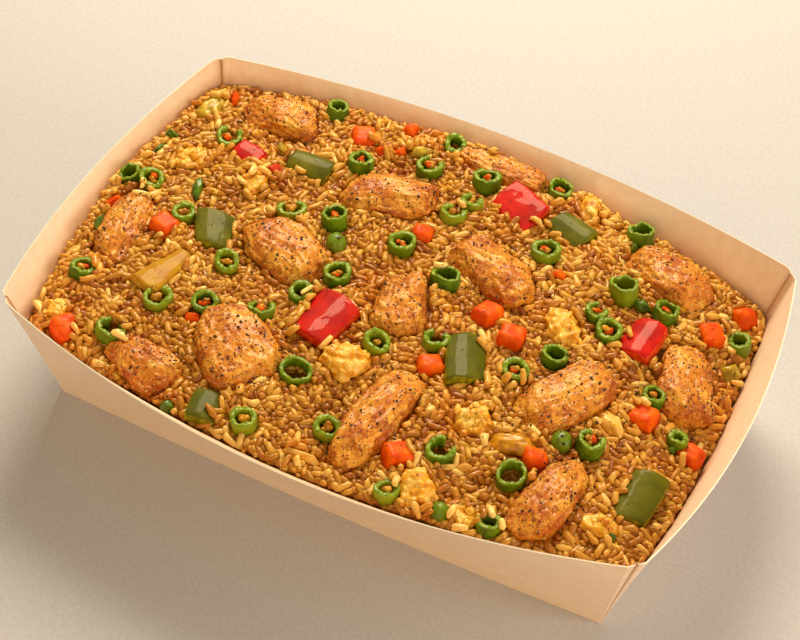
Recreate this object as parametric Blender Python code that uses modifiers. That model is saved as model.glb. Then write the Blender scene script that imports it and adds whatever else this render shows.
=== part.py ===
"""Chicken fried rice in a paperboard tray.

Metres, +Z up. The origin is the middle of the tray's flat base, +X runs along the tray's
long side and +Y towards its far long side. The tray's sides lean out and bow outwards at the
rim. The rice fills it in a low heap, and chicken, peppers, carrot, egg and rings of green
onion lie in sockets of the heap. Small pieces of green onion are fused to the rice.
"""

import math
import random

import bmesh
import bpy
from mathutils import Matrix, Vector, noise

MM = 0.001
NAME = "chicken_fried_rice"

# Tray: sizes between the sharp corners, and how far each side bows out past them.
RIM_LENGTH = 240 * MM
RIM_WIDTH = 153 * MM
BASE_LENGTH = 216.2 * MM
BASE_WIDTH = 121.2 * MM
CORNER_HEIGHT = 56.9 * MM
RIM_DIP = 4.3 * MM
LONG_SIDE_BOW = 18.6 * MM
SHORT_SIDE_BOW = 9.9 * MM
BASE_BOW = 2.3 * MM
BOARD = 1.0 * MM
GUSSET_AT_RIM = 3.7 * MM
GUSSET_AT_BASE = 0.8 * MM
LONG_SIDE_STEPS = 12
SHORT_SIDE_STEPS = 7
WALL_LEVELS = (0.0, 0.36, 0.7, 1.0)

# Heap of rice: its height at the tray's corners, how far it rises between them, its crown.
FAR_LEFT_HEIGHT = 45 * MM
FAR_RIGHT_HEIGHT = 35.5 * MM
NEAR_RIGHT_HEIGHT = 43 * MM
NEAR_LEFT_HEIGHT = 37.5 * MM
FAR_RISE = 7.5 * MM
NEAR_RISE = 7.5 * MM
LEFT_RISE = 4.0 * MM
RIGHT_RISE = -4.5 * MM
CROWN_HEIGHT = 51.5 * MM
CROWN_POWER = 5
HEAP_FLOOR = BOARD + 0.35 * MM
HEAP_CLEARANCE = 2.2 * MM
CORNER_ROUNDING = 0.035
HEAP_COLUMNS = 46
HEAP_ROWS = 34
HEAP_SHARE = 0.46
GRAIN_BUMP = 1.9 * MM
GRAIN_SPREAD = 0.9 * MM
SOCKET_GAP = 0.35 * MM
BOX_DIRECTIONS = ((1, 0, 0), (-1, 0, 0), (0, 1, 0), (0, -1, 0), (0, 0, 1), (0, 0, -1))
CORNER_DIRECTIONS = ((1, 1, 0), (-1, 1, 0), (1, -1, 0), (-1, -1, 0))
UNDER_DIRECTIONS = ((1, 0, -1), (-1, 0, -1), (0, 1, -1), (0, -1, -1))
SOCKET_FACES = {
    "chicken": BOX_DIRECTIONS + CORNER_DIRECTIONS + UNDER_DIRECTIONS,
    "egg": BOX_DIRECTIONS + CORNER_DIRECTIONS + UNDER_DIRECTIONS,
    "green_onion": BOX_DIRECTIONS + CORNER_DIRECTIONS,
    "pea": BOX_DIRECTIONS + CORNER_DIRECTIONS,
}

# Sizes that the small pieces share.
RING_WALL = 2.1 * MM
RING_SIDES = 10
FUSED_RING_SIDES = 8
DICE_BEVEL = 1.1 * MM
PEPPER_THICKNESS = 4.2 * MM
VIEW_LEAN = math.radians(22)

COLOURS = {
    "paperboard": (0.86, 0.72, 0.56),
    "rice": (0.56, 0.30, 0.10),
    "chicken": (0.71, 0.33, 0.11),
    "red_pepper": (0.60, 0.02, 0.01),
    "green_pepper": (0.15, 0.20, 0.01),
    "yellow_pepper": (0.60, 0.42, 0.05),
    "carrot": (0.78, 0.12, 0.01),
    "egg": (0.80, 0.52, 0.14),
    "green_onion": (0.13, 0.28, 0.02),
}

# Chicken: x, y, length, width, height, how proud of the rice, yaw in degrees, taper.
CHICKEN = (
    (-84.3, 63.3, 30.5, 20.5, 16, 5.5, 4, 0.15),
    (-106.9, -15.6, 40, 18, 14, 2.5, -84, 0.10),
    (-48, -1.2, 36, 24.5, 17, 5.5, -26, -0.12),
    (-40.9, -50.9, 37, 28, 17, 5.5, -40, 0.18),
    (-66.2, -70.2, 30, 17, 11.5, 3.2, -20, 0.15),
    (-27.4, 43.4, 36, 21.5, 16, 5.5, 16, -0.10),
    (0.6, -3.8, 30, 20.5, 16, 5, -74, 0.28),
    (21.6, 27.6, 39, 21.5, 17, 5.5, -24, 0.12),
    (1.8, 80, 41, 13, 10.5, 3, 2, 0.05),
    (16.5, -56.4, 47, 19, 16, 5.5, -97, -0.10),
    (78.3, 58.5, 34, 20, 17, 5.5, -10, 0.10),
    (69.5, -15.7, 42, 21.5, 16, 5, 64, -0.10),
    (101.2, 16.8, 37, 21, 16, 5, -68, 0.10),
    (81.7, -57.7, 37.5, 17, 16, 5.5, 84, -0.22),
)

# Pepper: colour, x, y, length, width, yaw, lean along and across in degrees, proud, bend.
PEPPER = (
    ("red", 16.6, 62.3, 19, 16, -22, 4, 12, 2.5, 0.10),
    ("red", -20, -24.7, 22, 17.5, 80, -4, -6, 3.0, 0.22),
    ("red", 81.3, 23.3, 18, 13, 84, -4, -12, 3.2, 0.30),
    ("red", -84.6, 37.3, 12, 9.5, -12, 2, 8, 2.0, 0.12),
    ("green", -75, -5, 17, 14.5, -66, 4, -8, 2.4, 0.22),
    ("green", 31.8, -17.4, 22, 14, -66, -2, -8, 2.8, 0.28),
    ("green", 107, -40, 21.5, 13, 88, -6, 4, 2.8, 0.24),
    ("green", 37.8, 61.5, 16, 12.5, -18, 2, 12, 1.6, 0.22),
    ("green", -61.7, 43.2, 17, 10.5, 3, 2, 12, 1.6, 0.24),
    ("green", -37, -78.2, 13.5, 11.5, -80, 0, -6, 2.0, 0.22),
    ("yellow", -80.9, -30.4, 24, 9.5, 78, 2, 4, 1.6, 0.16),
)

# Carrot dice: x, y, length, width, height, yaw, lean, proud.
CARROT = (
    (-99, -68, 9.6, 9.2, 8.5, -28, 8, 3.0),
    (-93, -10.8, 9.2, 8.8, 8.5, -12, 8, 3.0),
    (-51.9, 67.9, 9.4, 8.6, 8.5, -62, 10, 2.8),
    (29.4, 5.2, 9.8, 8.6, 9, 78, 12, 3.6),
    (41.1, -0.4, 8.8, 8.6, 8.5, 8, 8, 3.2),
    (30.1, -67.6, 9, 8.8, 9, 44, 14, 3.6),
    (70.6, -46.8, 7.8, 7, 8, 30, 16, 2.8),
    (95.1, -8.2, 9.2, 8.6, 8.5, 84, 8, 3.0),
    (114.4, -10, 8.4, 8, 7, 74, 4, 3.4),
    (101.2, 42.8, 9, 8.2, 8.5, -48, 10, 3.0),
    (21.8, -25.8, 8.8, 8, 8.5, 40, 8, 1.8),
    (-8.8, 31, 7.4, 6.8, 7.5, 16, 10, 2.0),
)
ROUND_CARROT = (107.3, 60.4, 9.4, 9, 64, 2.8)

# Egg: x, y, length, width, height, proud, yaw, taper.
EGG = (
    (-4.4, -39.4, 18, 15.5, 13, 5.0, -18, 0.1),
    (55, 14.6, 18, 14, 11, 3.4, -64, 0.05),
    (41.8, -76.6, 16, 12, 11, 3.6, -44, 0.05),
)

# Rings of green onion: x, y, diameter, height, lean to the far side, lean to the right.
RINGS = (
    (9, 13.4, 10.2, 6.5, 14, 0),
    (67, 41.6, 10.8, 7.2, 14, -4),
    (84, 39.6, 9.6, 6.8, 12, 10),
    (-40, 21.6, 9.8, 7, 8, -4),
    (-12.6, 21.8, 10, 6, -2, 4),
    (34.8, 44.2, 10.4, 7, 2, 0),
    (-16.7, -52, 11, 5, -8, 4),
    (1.4, -26.6, 9.6, 5.5, -6, 12),
    (84, -30.6, 9.8, 6, 6, 8),
    (67, -57, 10.8, 4.6, -2, -4),
    (60.8, 75, 10.4, 8, 16, 0),
    (0, 68.6, 10.2, 7.5, 10, 0),
    (-45.4, 53.2, 9.2, 7, 6, 0),
    (58.4, -1.8, 9.2, 6, 4, 4),
    (-22, -78.6, 9.8, 5.5, 4, -6),
)
PEAS = ((-33.8, 11, 7.6), (75.5, -34.6, 7.2))

# Rings and peas fused to the rice, in the same order of values.
FUSED_RINGS = (
    (-118.6, 8.6, 8.8, 5.5, -6, -26),
    (-110.2, 8.8, 9.6, 5, -8, 6),
    (-96.4, 42, 10, 5.5, -4, 4),
    (-89.4, -3, 9, 5, 4, 0),
    (-108.4, -41.6, 9.4, 5, 8, 10),
    (-75.8, -45, 10, 5, -8, 0),
    (-59.4, -39, 9.4, 5.5, -14, -6),
    (-83.6, -64, 10, 5, 2, 12),
    (-63.2, -17.6, 9.2, 5, -12, 6),
    (-68.2, 77.6, 9, 7, 14, 10),
    (-22.4, 65, 10.2, 5.5, 0, 0),
    (-56, 17, 10.6, 4.5, 12, 0),
    (-3.6, 45.4, 9, 5.5, 6, 6),
    (-0.2, 55.2, 8, 4.5, 4, 0),
    (25.2, 81, 9.4, 6.5, -4, 4),
    (-19.8, 83, 8.8, 5, -14, 0),
    (-32.8, -18.2, 8.6, 5, -6, 0),
    (-41.2, -33, 9.4, 5, 18, 6),
    (18.6, -15.4, 8.8, 5, 2, 6),
    (49, -14, 9.2, 5, -14, 0),
    (62.4, 26.4, 8, 4.5, 0, 0),
    (70, 20, 10, 5, -4, 0),
    (41.6, -59, 10.2, 5, -4, 0),
    (33.4, -82, 8.6, 4.5, 6, 0),
    (68.4, -77.6, 8.4, 4.5, 8, 0),
    (4.4, -69, 9.2, 5, -10, 6),
    (108.6, -8.4, 7.2, 5, 4, 0),
    (111, 48.6, 9, 5.5, 4, -8),
    (94.7, 1.4, 8.4, 5.5, 6, 6),
    (-25.8, -3.6, 10, 5.5, -2, 4),
)
FUSED_PEAS = ((52.2, -80.6, 6.6),)

# Crumbs of egg, pepper and carrot fused to the rice: x, y, length, width, height, proud, yaw.
FUSED_CRUMBS = (
    (-103, 27, 16, 11, 7, 2, 80),
    (39, 78, 15, 9, 8, 2.6, -60),
    (60, -78.6, 10, 8.5, 7, 2.6, 0),
    (-76, 26, 14, 10, 6, 2, -70),
    (46, -41, 14, 12, 7, 2.2, 80),
    (-106.5, -62, 11, 8, 7, 2.4, -50),
    (100, -60, 12, 9, 7, 2.4, 20),
    (86.5, -17.5, 13, 8, 6, 2.2, -20),
    (62, -44, 16, 8.5, 7, 2.8, 20),
    (-112, 57, 15, 9, 7, 2.6, 75),
    (112.5, 35, 10, 7, 6, 2, 70),
    (-117.5, -6, 8, 5, 6, 2, 80),
    (2, -81.8, 14, 4, 5, 2, 3),
)


def mixed(a, b, t):
    return a + (b - a) * t


def tray_point(u, v, t, inset=0.0):
    """A point of the tray's outer side: u and v run from -1 to 1 across it, t up it."""
    long_bow = mixed(BASE_BOW, LONG_SIDE_BOW, t * t)
    short_bow = SHORT_SIDE_BOW * t * t
    half_length = mixed(BASE_LENGTH, RIM_LENGTH, t) / 2 + short_bow * (1 - v * v) - inset
    half_width = mixed(BASE_WIDTH, RIM_WIDTH, t) / 2 + long_bow * (1 - u * u) - inset
    return u * half_length, v * half_width


def rim_height(u, v):
    """The rim dips between the corners."""
    along = min(abs(u), abs(v))
    return CORNER_HEIGHT - RIM_DIP * (1 - along * along)


def side_steps(steps, cut):
    """Values from -1 to 1 that stop short of both corners by the cut."""
    span = 1 - cut
    return [mixed(-span, span, i / steps) for i in range(steps + 1)]


def tray_outline(t):
    """The tray's outline at one level, anticlockwise, each corner cut by its gusset."""
    gusset = mixed(GUSSET_AT_BASE, GUSSET_AT_RIM, t)
    along = side_steps(LONG_SIDE_STEPS, 2 * gusset / RIM_LENGTH)
    across = side_steps(SHORT_SIDE_STEPS, 2 * gusset / RIM_WIDTH)
    sides = [(s, -1) for s in along] + [(1, s) for s in across]
    sides += [(-s, 1) for s in along] + [(-1, -s) for s in across]
    outline = []
    for u, v in sides:
        x, y = tray_point(u, v, t)
        outline.append((x, y, t * rim_height(u, v)))
    return outline


def heap_edge(u, v):
    """Height of the rice where it meets the tray."""
    far = (1 + v) / 2
    right = (1 + u) / 2
    near_side = mixed(NEAR_LEFT_HEIGHT, NEAR_RIGHT_HEIGHT, right)
    far_side = mixed(FAR_LEFT_HEIGHT, FAR_RIGHT_HEIGHT, right)
    height = mixed(near_side, far_side, far)
    height += (1 - u * u) * mixed(NEAR_RISE, FAR_RISE, far)
    height += (1 - v * v) * mixed(LEFT_RISE, RIGHT_RISE, right)
    return height


def heap_height(u, v):
    """Height of the heap, without its grains, from its edge up to its crown."""
    reach = max(abs(u), abs(v), 0.001)
    edge = heap_edge(u / reach, v / reach)
    return CROWN_HEIGHT - (CROWN_HEIGHT - edge) * reach**CROWN_POWER


def heap_point(u, v, z, inset=HEAP_CLEARANCE):
    """A point of the heap at height z, kept off the tray and out of its gussets."""
    rounding = 1 - CORNER_ROUNDING * abs(u * v) ** 8
    x, y = tray_point(u, v, z / rim_height(u, v), inset)
    return x * rounding, y * rounding, z


def heap_height_at(x, y):
    """Height of the bare heap over a place in the tray."""
    u, v, z = 0.0, 0.0, CROWN_HEIGHT
    for _ in range(6):
        span_x, _ = tray_point(1, v, z / CORNER_HEIGHT)
        _, span_y = tray_point(u, 1, z / CORNER_HEIGHT)
        u = max(-1, min(1, x / span_x))
        v = max(-1, min(1, y / span_y))
        z = heap_height(u, v)
    return z


def material(name):
    made = bpy.data.materials.get(name)
    if made:
        return made
    made = bpy.data.materials.new(name)
    made.use_nodes = True
    shader = made.node_tree.nodes["Principled BSDF"]
    shader.inputs["Base Color"].default_value = (*COLOURS[name], 1)
    shader.inputs["Roughness"].default_value = 0.8 if name == "paperboard" else 0.4
    shader.inputs["Metallic"].default_value = 0
    return made


def add_object(name, bm, look, collection):
    """Turn the edited mesh into an object of the collection."""
    bmesh.ops.recalc_face_normals(bm, faces=bm.faces)
    mesh = bpy.data.meshes.new(name)
    bm.to_mesh(mesh)
    bm.free()
    mesh.materials.append(material(look))
    piece = bpy.data.objects.new(name, mesh)
    collection.objects.link(piece)
    return piece


def place(piece, x, y, z, yaw, lean_along=0.0, lean_across=0.0):
    turn = Matrix.Rotation(math.radians(yaw), 4, "Z")
    along = Matrix.Rotation(math.radians(lean_along), 4, "Y")
    across = Matrix.Rotation(math.radians(lean_across), 4, "X")
    piece.matrix_world = Matrix.Translation((x, y, z)) @ turn @ across @ along


def make_tray(collection):
    """The folded board: an open shell, made as thick as the board by Solidify."""
    bm = bmesh.new()
    rings = []
    for t in WALL_LEVELS:
        rings.append([bm.verts.new(point) for point in tray_outline(t)])
    count = len(rings[0])
    for low, high in zip(rings, rings[1:]):
        for i in range(count):
            j = (i + 1) % count
            bm.faces.new((low[i], low[j], high[j], high[i]))
    bm.faces.new(reversed(rings[0]))
    tray = add_object("tray", bm, "paperboard", collection)
    shell = tray.modifiers.new("board", "SOLIDIFY")
    shell.thickness = BOARD
    shell.offset = -1
    shell.use_even_offset = True
    tray.data.shade_smooth()
    tray.data.set_sharp_from_angle(angle=math.radians(30))
    return tray


def lumpy(point, seed, size, amount):
    """How far a soft lump moves a point of a chunk."""
    shifted = Vector(point) / size + Vector((seed * 3.1, seed * 1.7, seed * 0.9))
    return amount * noise.noise(shifted)


def make_chunk(name, look, sizes, taper, seed, lump, collection, cuts=3, squareness=3.4):
    """An uneven chunk: a cube of small faces, drawn in to a rounded block, then lumped."""
    length, width, height = (size * MM / 2 for size in sizes)
    bm = bmesh.new()
    bmesh.ops.create_cube(bm, size=2)
    bmesh.ops.subdivide_edges(bm, edges=bm.edges, cuts=cuts, use_grid_fill=True)
    rng = random.Random(seed)
    skew = rng.uniform(-0.16, 0.16)
    tip = rng.uniform(-0.14, 0.14)
    for vert in bm.verts:
        x, y, z = vert.co
        norm = (abs(x) ** squareness + abs(y) ** squareness + abs(z) ** squareness) ** (1 / squareness)
        x, y, z = x / norm, y / norm, z / norm
        narrow = 1 + taper * x
        local = Vector((
            length * (x + skew * y),
            width * y * narrow,
            height * (z * (1 + tip * x) - 0.10 * y * y * z),
        ))
        push = 1 + lumpy(local, seed, 9 * MM, lump) + lumpy(local, seed + 40, 4.5 * MM, lump / 2)
        vert.co = local * push
    return add_object(name, bm, look, collection)


def make_chicken(collection):
    for i, (x, y, length, width, height, proud, yaw, taper) in enumerate(CHICKEN, 1):
        chunk = make_chunk(f"chicken_{i:02d}", "chicken", (length, width, height),
                           taper, i, 0.16, collection)
        z = heap_height_at(x * MM, y * MM) + (proud - height / 2) * MM
        place(chunk, x * MM, y * MM, z, yaw)


def make_egg(collection):
    for i, (x, y, length, width, height, proud, yaw, taper) in enumerate(EGG, 1):
        lump = make_chunk(f"egg_{i}", "egg", (length, width, height), taper, i + 60, 0.3,
                          collection, cuts=2, squareness=2.6)
        z = heap_height_at(x * MM, y * MM) + (proud - height / 2) * MM
        place(lump, x * MM, y * MM, z, yaw)


def make_pepper(collection):
    """Curved squares of pepper, bent about their long axis, skin side up."""
    count = {"red": 0, "green": 0, "yellow": 0}
    for colour, x, y, length, width, yaw, lean, tilt, proud, bend in PEPPER:
        count[colour] += 1
        seed = len(count) * sum(count.values())
        rng = random.Random(seed)
        bm = bmesh.new()
        bmesh.ops.create_cube(bm, size=2)
        long_edges = [e for e in bm.edges if abs((e.verts[0].co - e.verts[1].co).x) > 1]
        bmesh.ops.subdivide_edges(bm, edges=long_edges, cuts=2, use_grid_fill=True)
        cross_edges = [e for e in bm.edges if abs((e.verts[0].co - e.verts[1].co).y) > 1]
        bmesh.ops.subdivide_edges(bm, edges=cross_edges, cuts=3, use_grid_fill=True)
        skew = rng.uniform(-0.14, 0.14)
        narrow = -0.35 if colour == "yellow" else rng.uniform(-0.08, 0.08)
        for vert in bm.verts:
            u, v, w = vert.co
            rounding = 1 - 0.07 * abs(u * v)
            across = v * (1 + narrow * u) * rounding
            vert.co = (
                (u * rounding + skew * v) * length * MM / 2,
                across * width * MM / 2,
                w * PEPPER_THICKNESS / 2 - bend * width * MM * v * v * 0.5,
            )
        piece = add_object(f"{colour}_pepper_{count[colour]}", bm, f"{colour}_pepper", collection)
        z = heap_height_at(x * MM, y * MM) + proud * MM - PEPPER_THICKNESS / 2
        place(piece, x * MM, y * MM, z, yaw, lean, tilt)


def make_carrot(collection):
    """Dice of carrot with worn edges, and one round end."""
    for i, (x, y, length, width, height, yaw, lean, proud) in enumerate(CARROT, 1):
        rng = random.Random(100 + i)
        bm = bmesh.new()
        bmesh.ops.create_cube(bm, size=1)
        for vert in bm.verts:
            uneven = Vector([rng.uniform(0.90, 1.06) for _ in range(3)])
            vert.co = vert.co * uneven * Vector((length, width, height)) * MM
        bmesh.ops.bevel(bm, geom=bm.edges[:] + bm.verts[:], offset=DICE_BEVEL, segments=1,
                        affect="EDGES")
        dice = add_object(f"carrot_{i:02d}", bm, "carrot", collection)
        z = heap_height_at(x * MM, y * MM) + (proud - height / 2) * MM
        place(dice, x * MM, y * MM, z, yaw, lean, -lean / 2)
    x, y, across, length, lean, proud = ROUND_CARROT
    bm = bmesh.new()
    bmesh.ops.create_cone(bm, cap_ends=True, segments=12, radius1=across * MM / 2,
                          radius2=across * MM * 0.46, depth=length * MM)
    rims = [edge for edge in bm.edges if abs((edge.verts[0].co - edge.verts[1].co).z) < MM]
    bmesh.ops.bevel(bm, geom=rims, offset=DICE_BEVEL * 0.8, segments=1, affect="EDGES")
    end = add_object("carrot_round_end", bm, "carrot", collection)
    z = heap_height_at(x * MM, y * MM) + (proud - across / 2) * MM
    place(end, x * MM, y * MM, z, -22, 0, lean)


def ring_mesh(diameter, height, sides, seed):
    """A cut ring of green onion: a small section spun round, then made a little uneven."""
    outer = diameter * MM / 2
    inner = outer - RING_WALL
    top = height * MM / 2
    section = (
        (inner, -top),
        (outer, -top),
        (outer - RING_WALL * 0.15, top),
        (inner + RING_WALL * 0.1, top),
    )
    bm = bmesh.new()
    verts = [bm.verts.new((x, 0, z)) for x, z in section]
    edges = [bm.edges.new((a, b)) for a, b in zip(verts, verts[1:] + verts[:1])]
    bmesh.ops.spin(bm, geom=verts + edges, cent=(0, 0, 0), axis=(0, 0, 1), dvec=(0, 0, 0),
                   angle=math.tau, steps=sides, use_merge=True)
    bmesh.ops.remove_doubles(bm, verts=bm.verts, dist=0.00005)
    for vert in bm.verts:
        angle = math.atan2(vert.co.y, vert.co.x)
        wobble = 1 + 0.07 * math.cos(2 * angle + seed) + 0.03 * math.cos(3 * angle + 2 * seed)
        vert.co.x *= wobble
        vert.co.y *= wobble
    return bm


def make_ring(name, ring, sides, seed, collection):
    x, y, diameter, height, far_lean, right_lean = ring
    piece = add_object(name, ring_mesh(diameter, height, sides, seed), "green_onion", collection)
    z = heap_height_at(x * MM, y * MM)
    turn = Matrix.Rotation(VIEW_LEAN, 4, "Z")
    lean = Matrix.Rotation(math.radians(-far_lean), 4, "X")
    side = Matrix.Rotation(math.radians(right_lean), 4, "Y")
    piece.matrix_world = Matrix.Translation((x * MM, y * MM, z)) @ turn @ lean @ side


def make_pea(name, pea, collection):
    x, y, diameter = pea
    bm = bmesh.new()
    bmesh.ops.create_icosphere(bm, subdivisions=2, radius=diameter * MM / 2)
    for vert in bm.verts:
        vert.co.y *= 1.12
        vert.co.z *= 0.94
    piece = add_object(name, bm, "green_onion", collection)
    place(piece, x * MM, y * MM, heap_height_at(x * MM, y * MM), 24)


def make_green_onion(collection):
    for i, ring in enumerate(RINGS, 1):
        make_ring(f"green_onion_{i:02d}", ring, RING_SIDES, i, collection)
    for i, pea in enumerate(PEAS, 1):
        make_pea(f"pea_{i}", pea, collection)


def make_fused(collection):
    for i, ring in enumerate(FUSED_RINGS, 1):
        make_ring(f"fused_ring_{i:02d}", ring, FUSED_RING_SIDES, i + 50, collection)
    for i, pea in enumerate(FUSED_PEAS, 1):
        make_pea(f"fused_pea_{i}", pea, collection)
    for i, (x, y, length, width, height, proud, yaw) in enumerate(FUSED_CRUMBS, 1):
        crumb = make_chunk(f"fused_crumb_{i:02d}", "rice", (length, width, height), 0, i + 80, 0.2,
                           collection, cuts=1, squareness=2.6)
        z = heap_height_at(x * MM, y * MM) + (proud - height / 2) * MM
        place(crumb, x * MM, y * MM, z, yaw)


def grain_bumps():
    """Bumps of a grain's size: pairs of neighbouring points raised or sunk together."""
    rng = random.Random(7)
    bump = {}
    for row in range(HEAP_ROWS + 1):
        for column in range(HEAP_COLUMNS + 1):
            if (column, row) in bump:
                continue
            step = rng.choice(((1, 0), (0, 1), (1, 1)))
            height = rng.uniform(-GRAIN_BUMP, GRAIN_BUMP)
            bump[(column, row)] = height
            bump.setdefault((column + step[0], row + step[1]), height)
    return bump


def make_heap(collection):
    """The heap of rice: a bumpy top, sides along the tray and a flat underside."""
    rng = random.Random(11)
    bump = grain_bumps()
    bm = bmesh.new()
    top = {}
    for row in range(HEAP_ROWS + 1):
        for column in range(HEAP_COLUMNS + 1):
            u = 2 * column / HEAP_COLUMNS - 1
            v = 2 * row / HEAP_ROWS - 1
            z = heap_height(u, v)
            on_edge = column in (0, HEAP_COLUMNS) or row in (0, HEAP_ROWS)
            x, y, z = heap_point(u, v, z)
            if not on_edge:
                x += rng.uniform(-GRAIN_SPREAD, GRAIN_SPREAD)
                y += rng.uniform(-GRAIN_SPREAD, GRAIN_SPREAD)
                z += bump[(column, row)]
            top[(column, row)] = bm.verts.new((x, y, z))
    for row in range(HEAP_ROWS):
        for column in range(HEAP_COLUMNS):
            a = top[(column, row)]
            b = top[(column + 1, row)]
            c = top[(column + 1, row + 1)]
            d = top[(column, row + 1)]
            if rng.random() < 0.5:
                bm.faces.new((a, b, c))
                bm.faces.new((a, c, d))
            else:
                bm.faces.new((a, b, d))
                bm.faces.new((b, c, d))
    around = [(column, 0) for column in range(HEAP_COLUMNS)]
    around += [(HEAP_COLUMNS, row) for row in range(HEAP_ROWS)]
    around += [(column, HEAP_ROWS) for column in range(HEAP_COLUMNS, 0, -1)]
    around += [(0, row) for row in range(HEAP_ROWS, 0, -1)]
    upper = [top[key] for key in around]
    for level in (0.5, 0.0):
        lower = []
        for column, row in around:
            u = 2 * column / HEAP_COLUMNS - 1
            v = 2 * row / HEAP_ROWS - 1
            z = mixed(HEAP_FLOOR, heap_height(u, v), level)
            lower.append(bm.verts.new(heap_point(u, v, z)))
        for i, vert in enumerate(upper):
            j = (i + 1) % len(upper)
            bm.faces.new((upper[j], vert, lower[i], lower[j]))
        upper = lower
    bm.faces.new(upper)
    return add_object("rice", bm, "rice", collection)


def evaluated_mesh(piece):
    graph = bpy.context.evaluated_depsgraph_get()
    return bpy.data.meshes.new_from_object(piece.evaluated_get(graph))


def bounding_block(points, directions, gap):
    """A closed convex block of few faces that holds all the points, with a gap to spare."""
    bm = bmesh.new()
    reach = max(point.length for point in points)
    bmesh.ops.create_cube(bm, size=8 * reach)
    for direction in directions:
        normal = Vector(direction).normalized()
        distance = max(point.dot(normal) for point in points) + gap
        cut = bmesh.ops.bisect_plane(bm, geom=bm.verts[:] + bm.edges[:] + bm.faces[:],
                                     plane_co=normal * distance, plane_no=normal,
                                     dist=0.0000001, clear_outer=True)
        rim = [item for item in cut["geom_cut"] if isinstance(item, bmesh.types.BMEdge)]
        bmesh.ops.contextual_create(bm, geom=rim)
    return bm


def make_socket_cutters(toppings, cutters):
    """A block round each topping, larger than it by the gap that the rice keeps to it."""
    for piece in toppings:
        points = [vert.co.copy() for vert in piece.data.vertices]
        kind = piece.name.rstrip("0123456789").rstrip("_")
        directions = SOCKET_FACES.get(kind, BOX_DIRECTIONS)
        bm = bounding_block(points, directions, SOCKET_GAP)
        cutter = add_object(f"socket_{piece.name}", bm, "rice", cutters)
        cutter.matrix_world = piece.matrix_world
        cutter.hide_render = True
        cutter.display_type = "WIRE"


def combine(piece, operation, others):
    """Join or cut a piece with a whole collection, and remove the collection's objects."""
    step = piece.modifiers.new(operation.lower(), "BOOLEAN")
    step.operation = operation
    step.operand_type = "COLLECTION"
    step.collection = others
    step.solver = "MANIFOLD"
    result = evaluated_mesh(piece)
    piece.modifiers.remove(step)
    piece.data = result
    for other in list(others.objects):
        bpy.data.objects.remove(other)


def thin_out(piece, share):
    """Merge the smallest faces, down to a share of the piece's triangles."""
    step = piece.modifiers.new("thin_out", "DECIMATE")
    step.ratio = share
    result = evaluated_mesh(piece)
    piece.modifiers.remove(step)
    piece.data = result


def drop_scraps(piece):
    """Keep the largest body and delete crumbs that a cut has left loose."""
    bm = bmesh.new()
    bm.from_mesh(piece.data)
    unseen = set(bm.verts)
    bodies = []
    while unseen:
        stack = [unseen.pop()]
        body = []
        while stack:
            vert = stack.pop()
            body.append(vert)
            for edge in vert.link_edges:
                other = edge.other_vert(vert)
                if other in unseen:
                    unseen.remove(other)
                    stack.append(other)
        bodies.append(body)
    bodies.sort(key=len, reverse=True)
    for body in bodies[1:]:
        bmesh.ops.delete(bm, geom=body, context="VERTS")
    bm.to_mesh(piece.data)
    bm.free()


def main():
    for old in list(bpy.data.objects):
        bpy.data.objects.remove(old)
    scene = bpy.context.scene
    dish = bpy.data.collections.new(NAME)
    fused = bpy.data.collections.new("fused_to_rice")
    cutters = bpy.data.collections.new("sockets")
    for collection in (dish, fused, cutters):
        scene.collection.children.link(collection)
    make_chicken(dish)
    make_pepper(dish)
    make_carrot(dish)
    make_egg(dish)
    make_green_onion(dish)
    bpy.context.view_layer.update()
    make_socket_cutters(list(dish.objects), cutters)
    make_tray(dish)
    rice = make_heap(dish)
    make_fused(fused)
    bpy.context.view_layer.update()
    combine(rice, "UNION", fused)
    thin_out(rice, HEAP_SHARE)
    combine(rice, "DIFFERENCE", cutters)
    drop_scraps(rice)


main()
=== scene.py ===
"""Looks of the chicken fried rice in its paperboard tray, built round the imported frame.

Metres, +Z up, in the frame's own axes: +X along the tray's long side, +Y to its far side.
The pieces that are nodes of the frame are refined from their own solids. The rice is a core
under loose grains, which settle on it and against the toppings. What lies fused in the rice
node is made again here from its place.
"""

import math
import random

import bmesh
import bpy
import numpy as np
from mathutils import Matrix, Vector, noise
from mathutils.bvhtree import BVHTree


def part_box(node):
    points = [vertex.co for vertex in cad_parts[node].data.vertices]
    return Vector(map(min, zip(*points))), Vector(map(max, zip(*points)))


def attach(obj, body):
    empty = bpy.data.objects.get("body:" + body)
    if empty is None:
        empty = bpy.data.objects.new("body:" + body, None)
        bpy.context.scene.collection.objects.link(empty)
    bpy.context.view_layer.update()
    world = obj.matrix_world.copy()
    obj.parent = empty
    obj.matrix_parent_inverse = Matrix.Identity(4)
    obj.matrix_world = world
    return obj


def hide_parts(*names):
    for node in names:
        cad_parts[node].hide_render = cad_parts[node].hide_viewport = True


MM = 0.001

# Camera: where it stands from the point that it looks at, and the picture's width in pixels.
VIEW_AZIMUTH = math.radians(22.568)
VIEW_ELEVATION = math.radians(46.143)
VIEW_ROLL = math.radians(5.298)
VIEW_DISTANCE = 767 * MM
VIEW_AIM = Vector((-0.691, -1.889, 40)) * MM
FOCAL_PIXELS = 2137.5
PICTURE_WIDTH = 800
SENSOR_WIDTH = 36

# Lights: name, place, size, power in watts and colour. They face the food.
LIGHTS = (
    ("key", (-0.24, 0.57, 0.66), 0.40, 10.2, (1.0, 0.85, 0.57)),
    ("right", (0.95, 0.05, 0.36), 0.5, 5.0, (1.0, 0.88, 0.66)),
    ("front", (0.25, -0.9, 0.45), 0.8, 4.4, (1.0, 0.70, 0.34)),
)
WORLD_COLOUR = (1.0, 0.83, 0.54)
WORLD_STRENGTH = 0.32
FLOOR_REACH = 3

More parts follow.
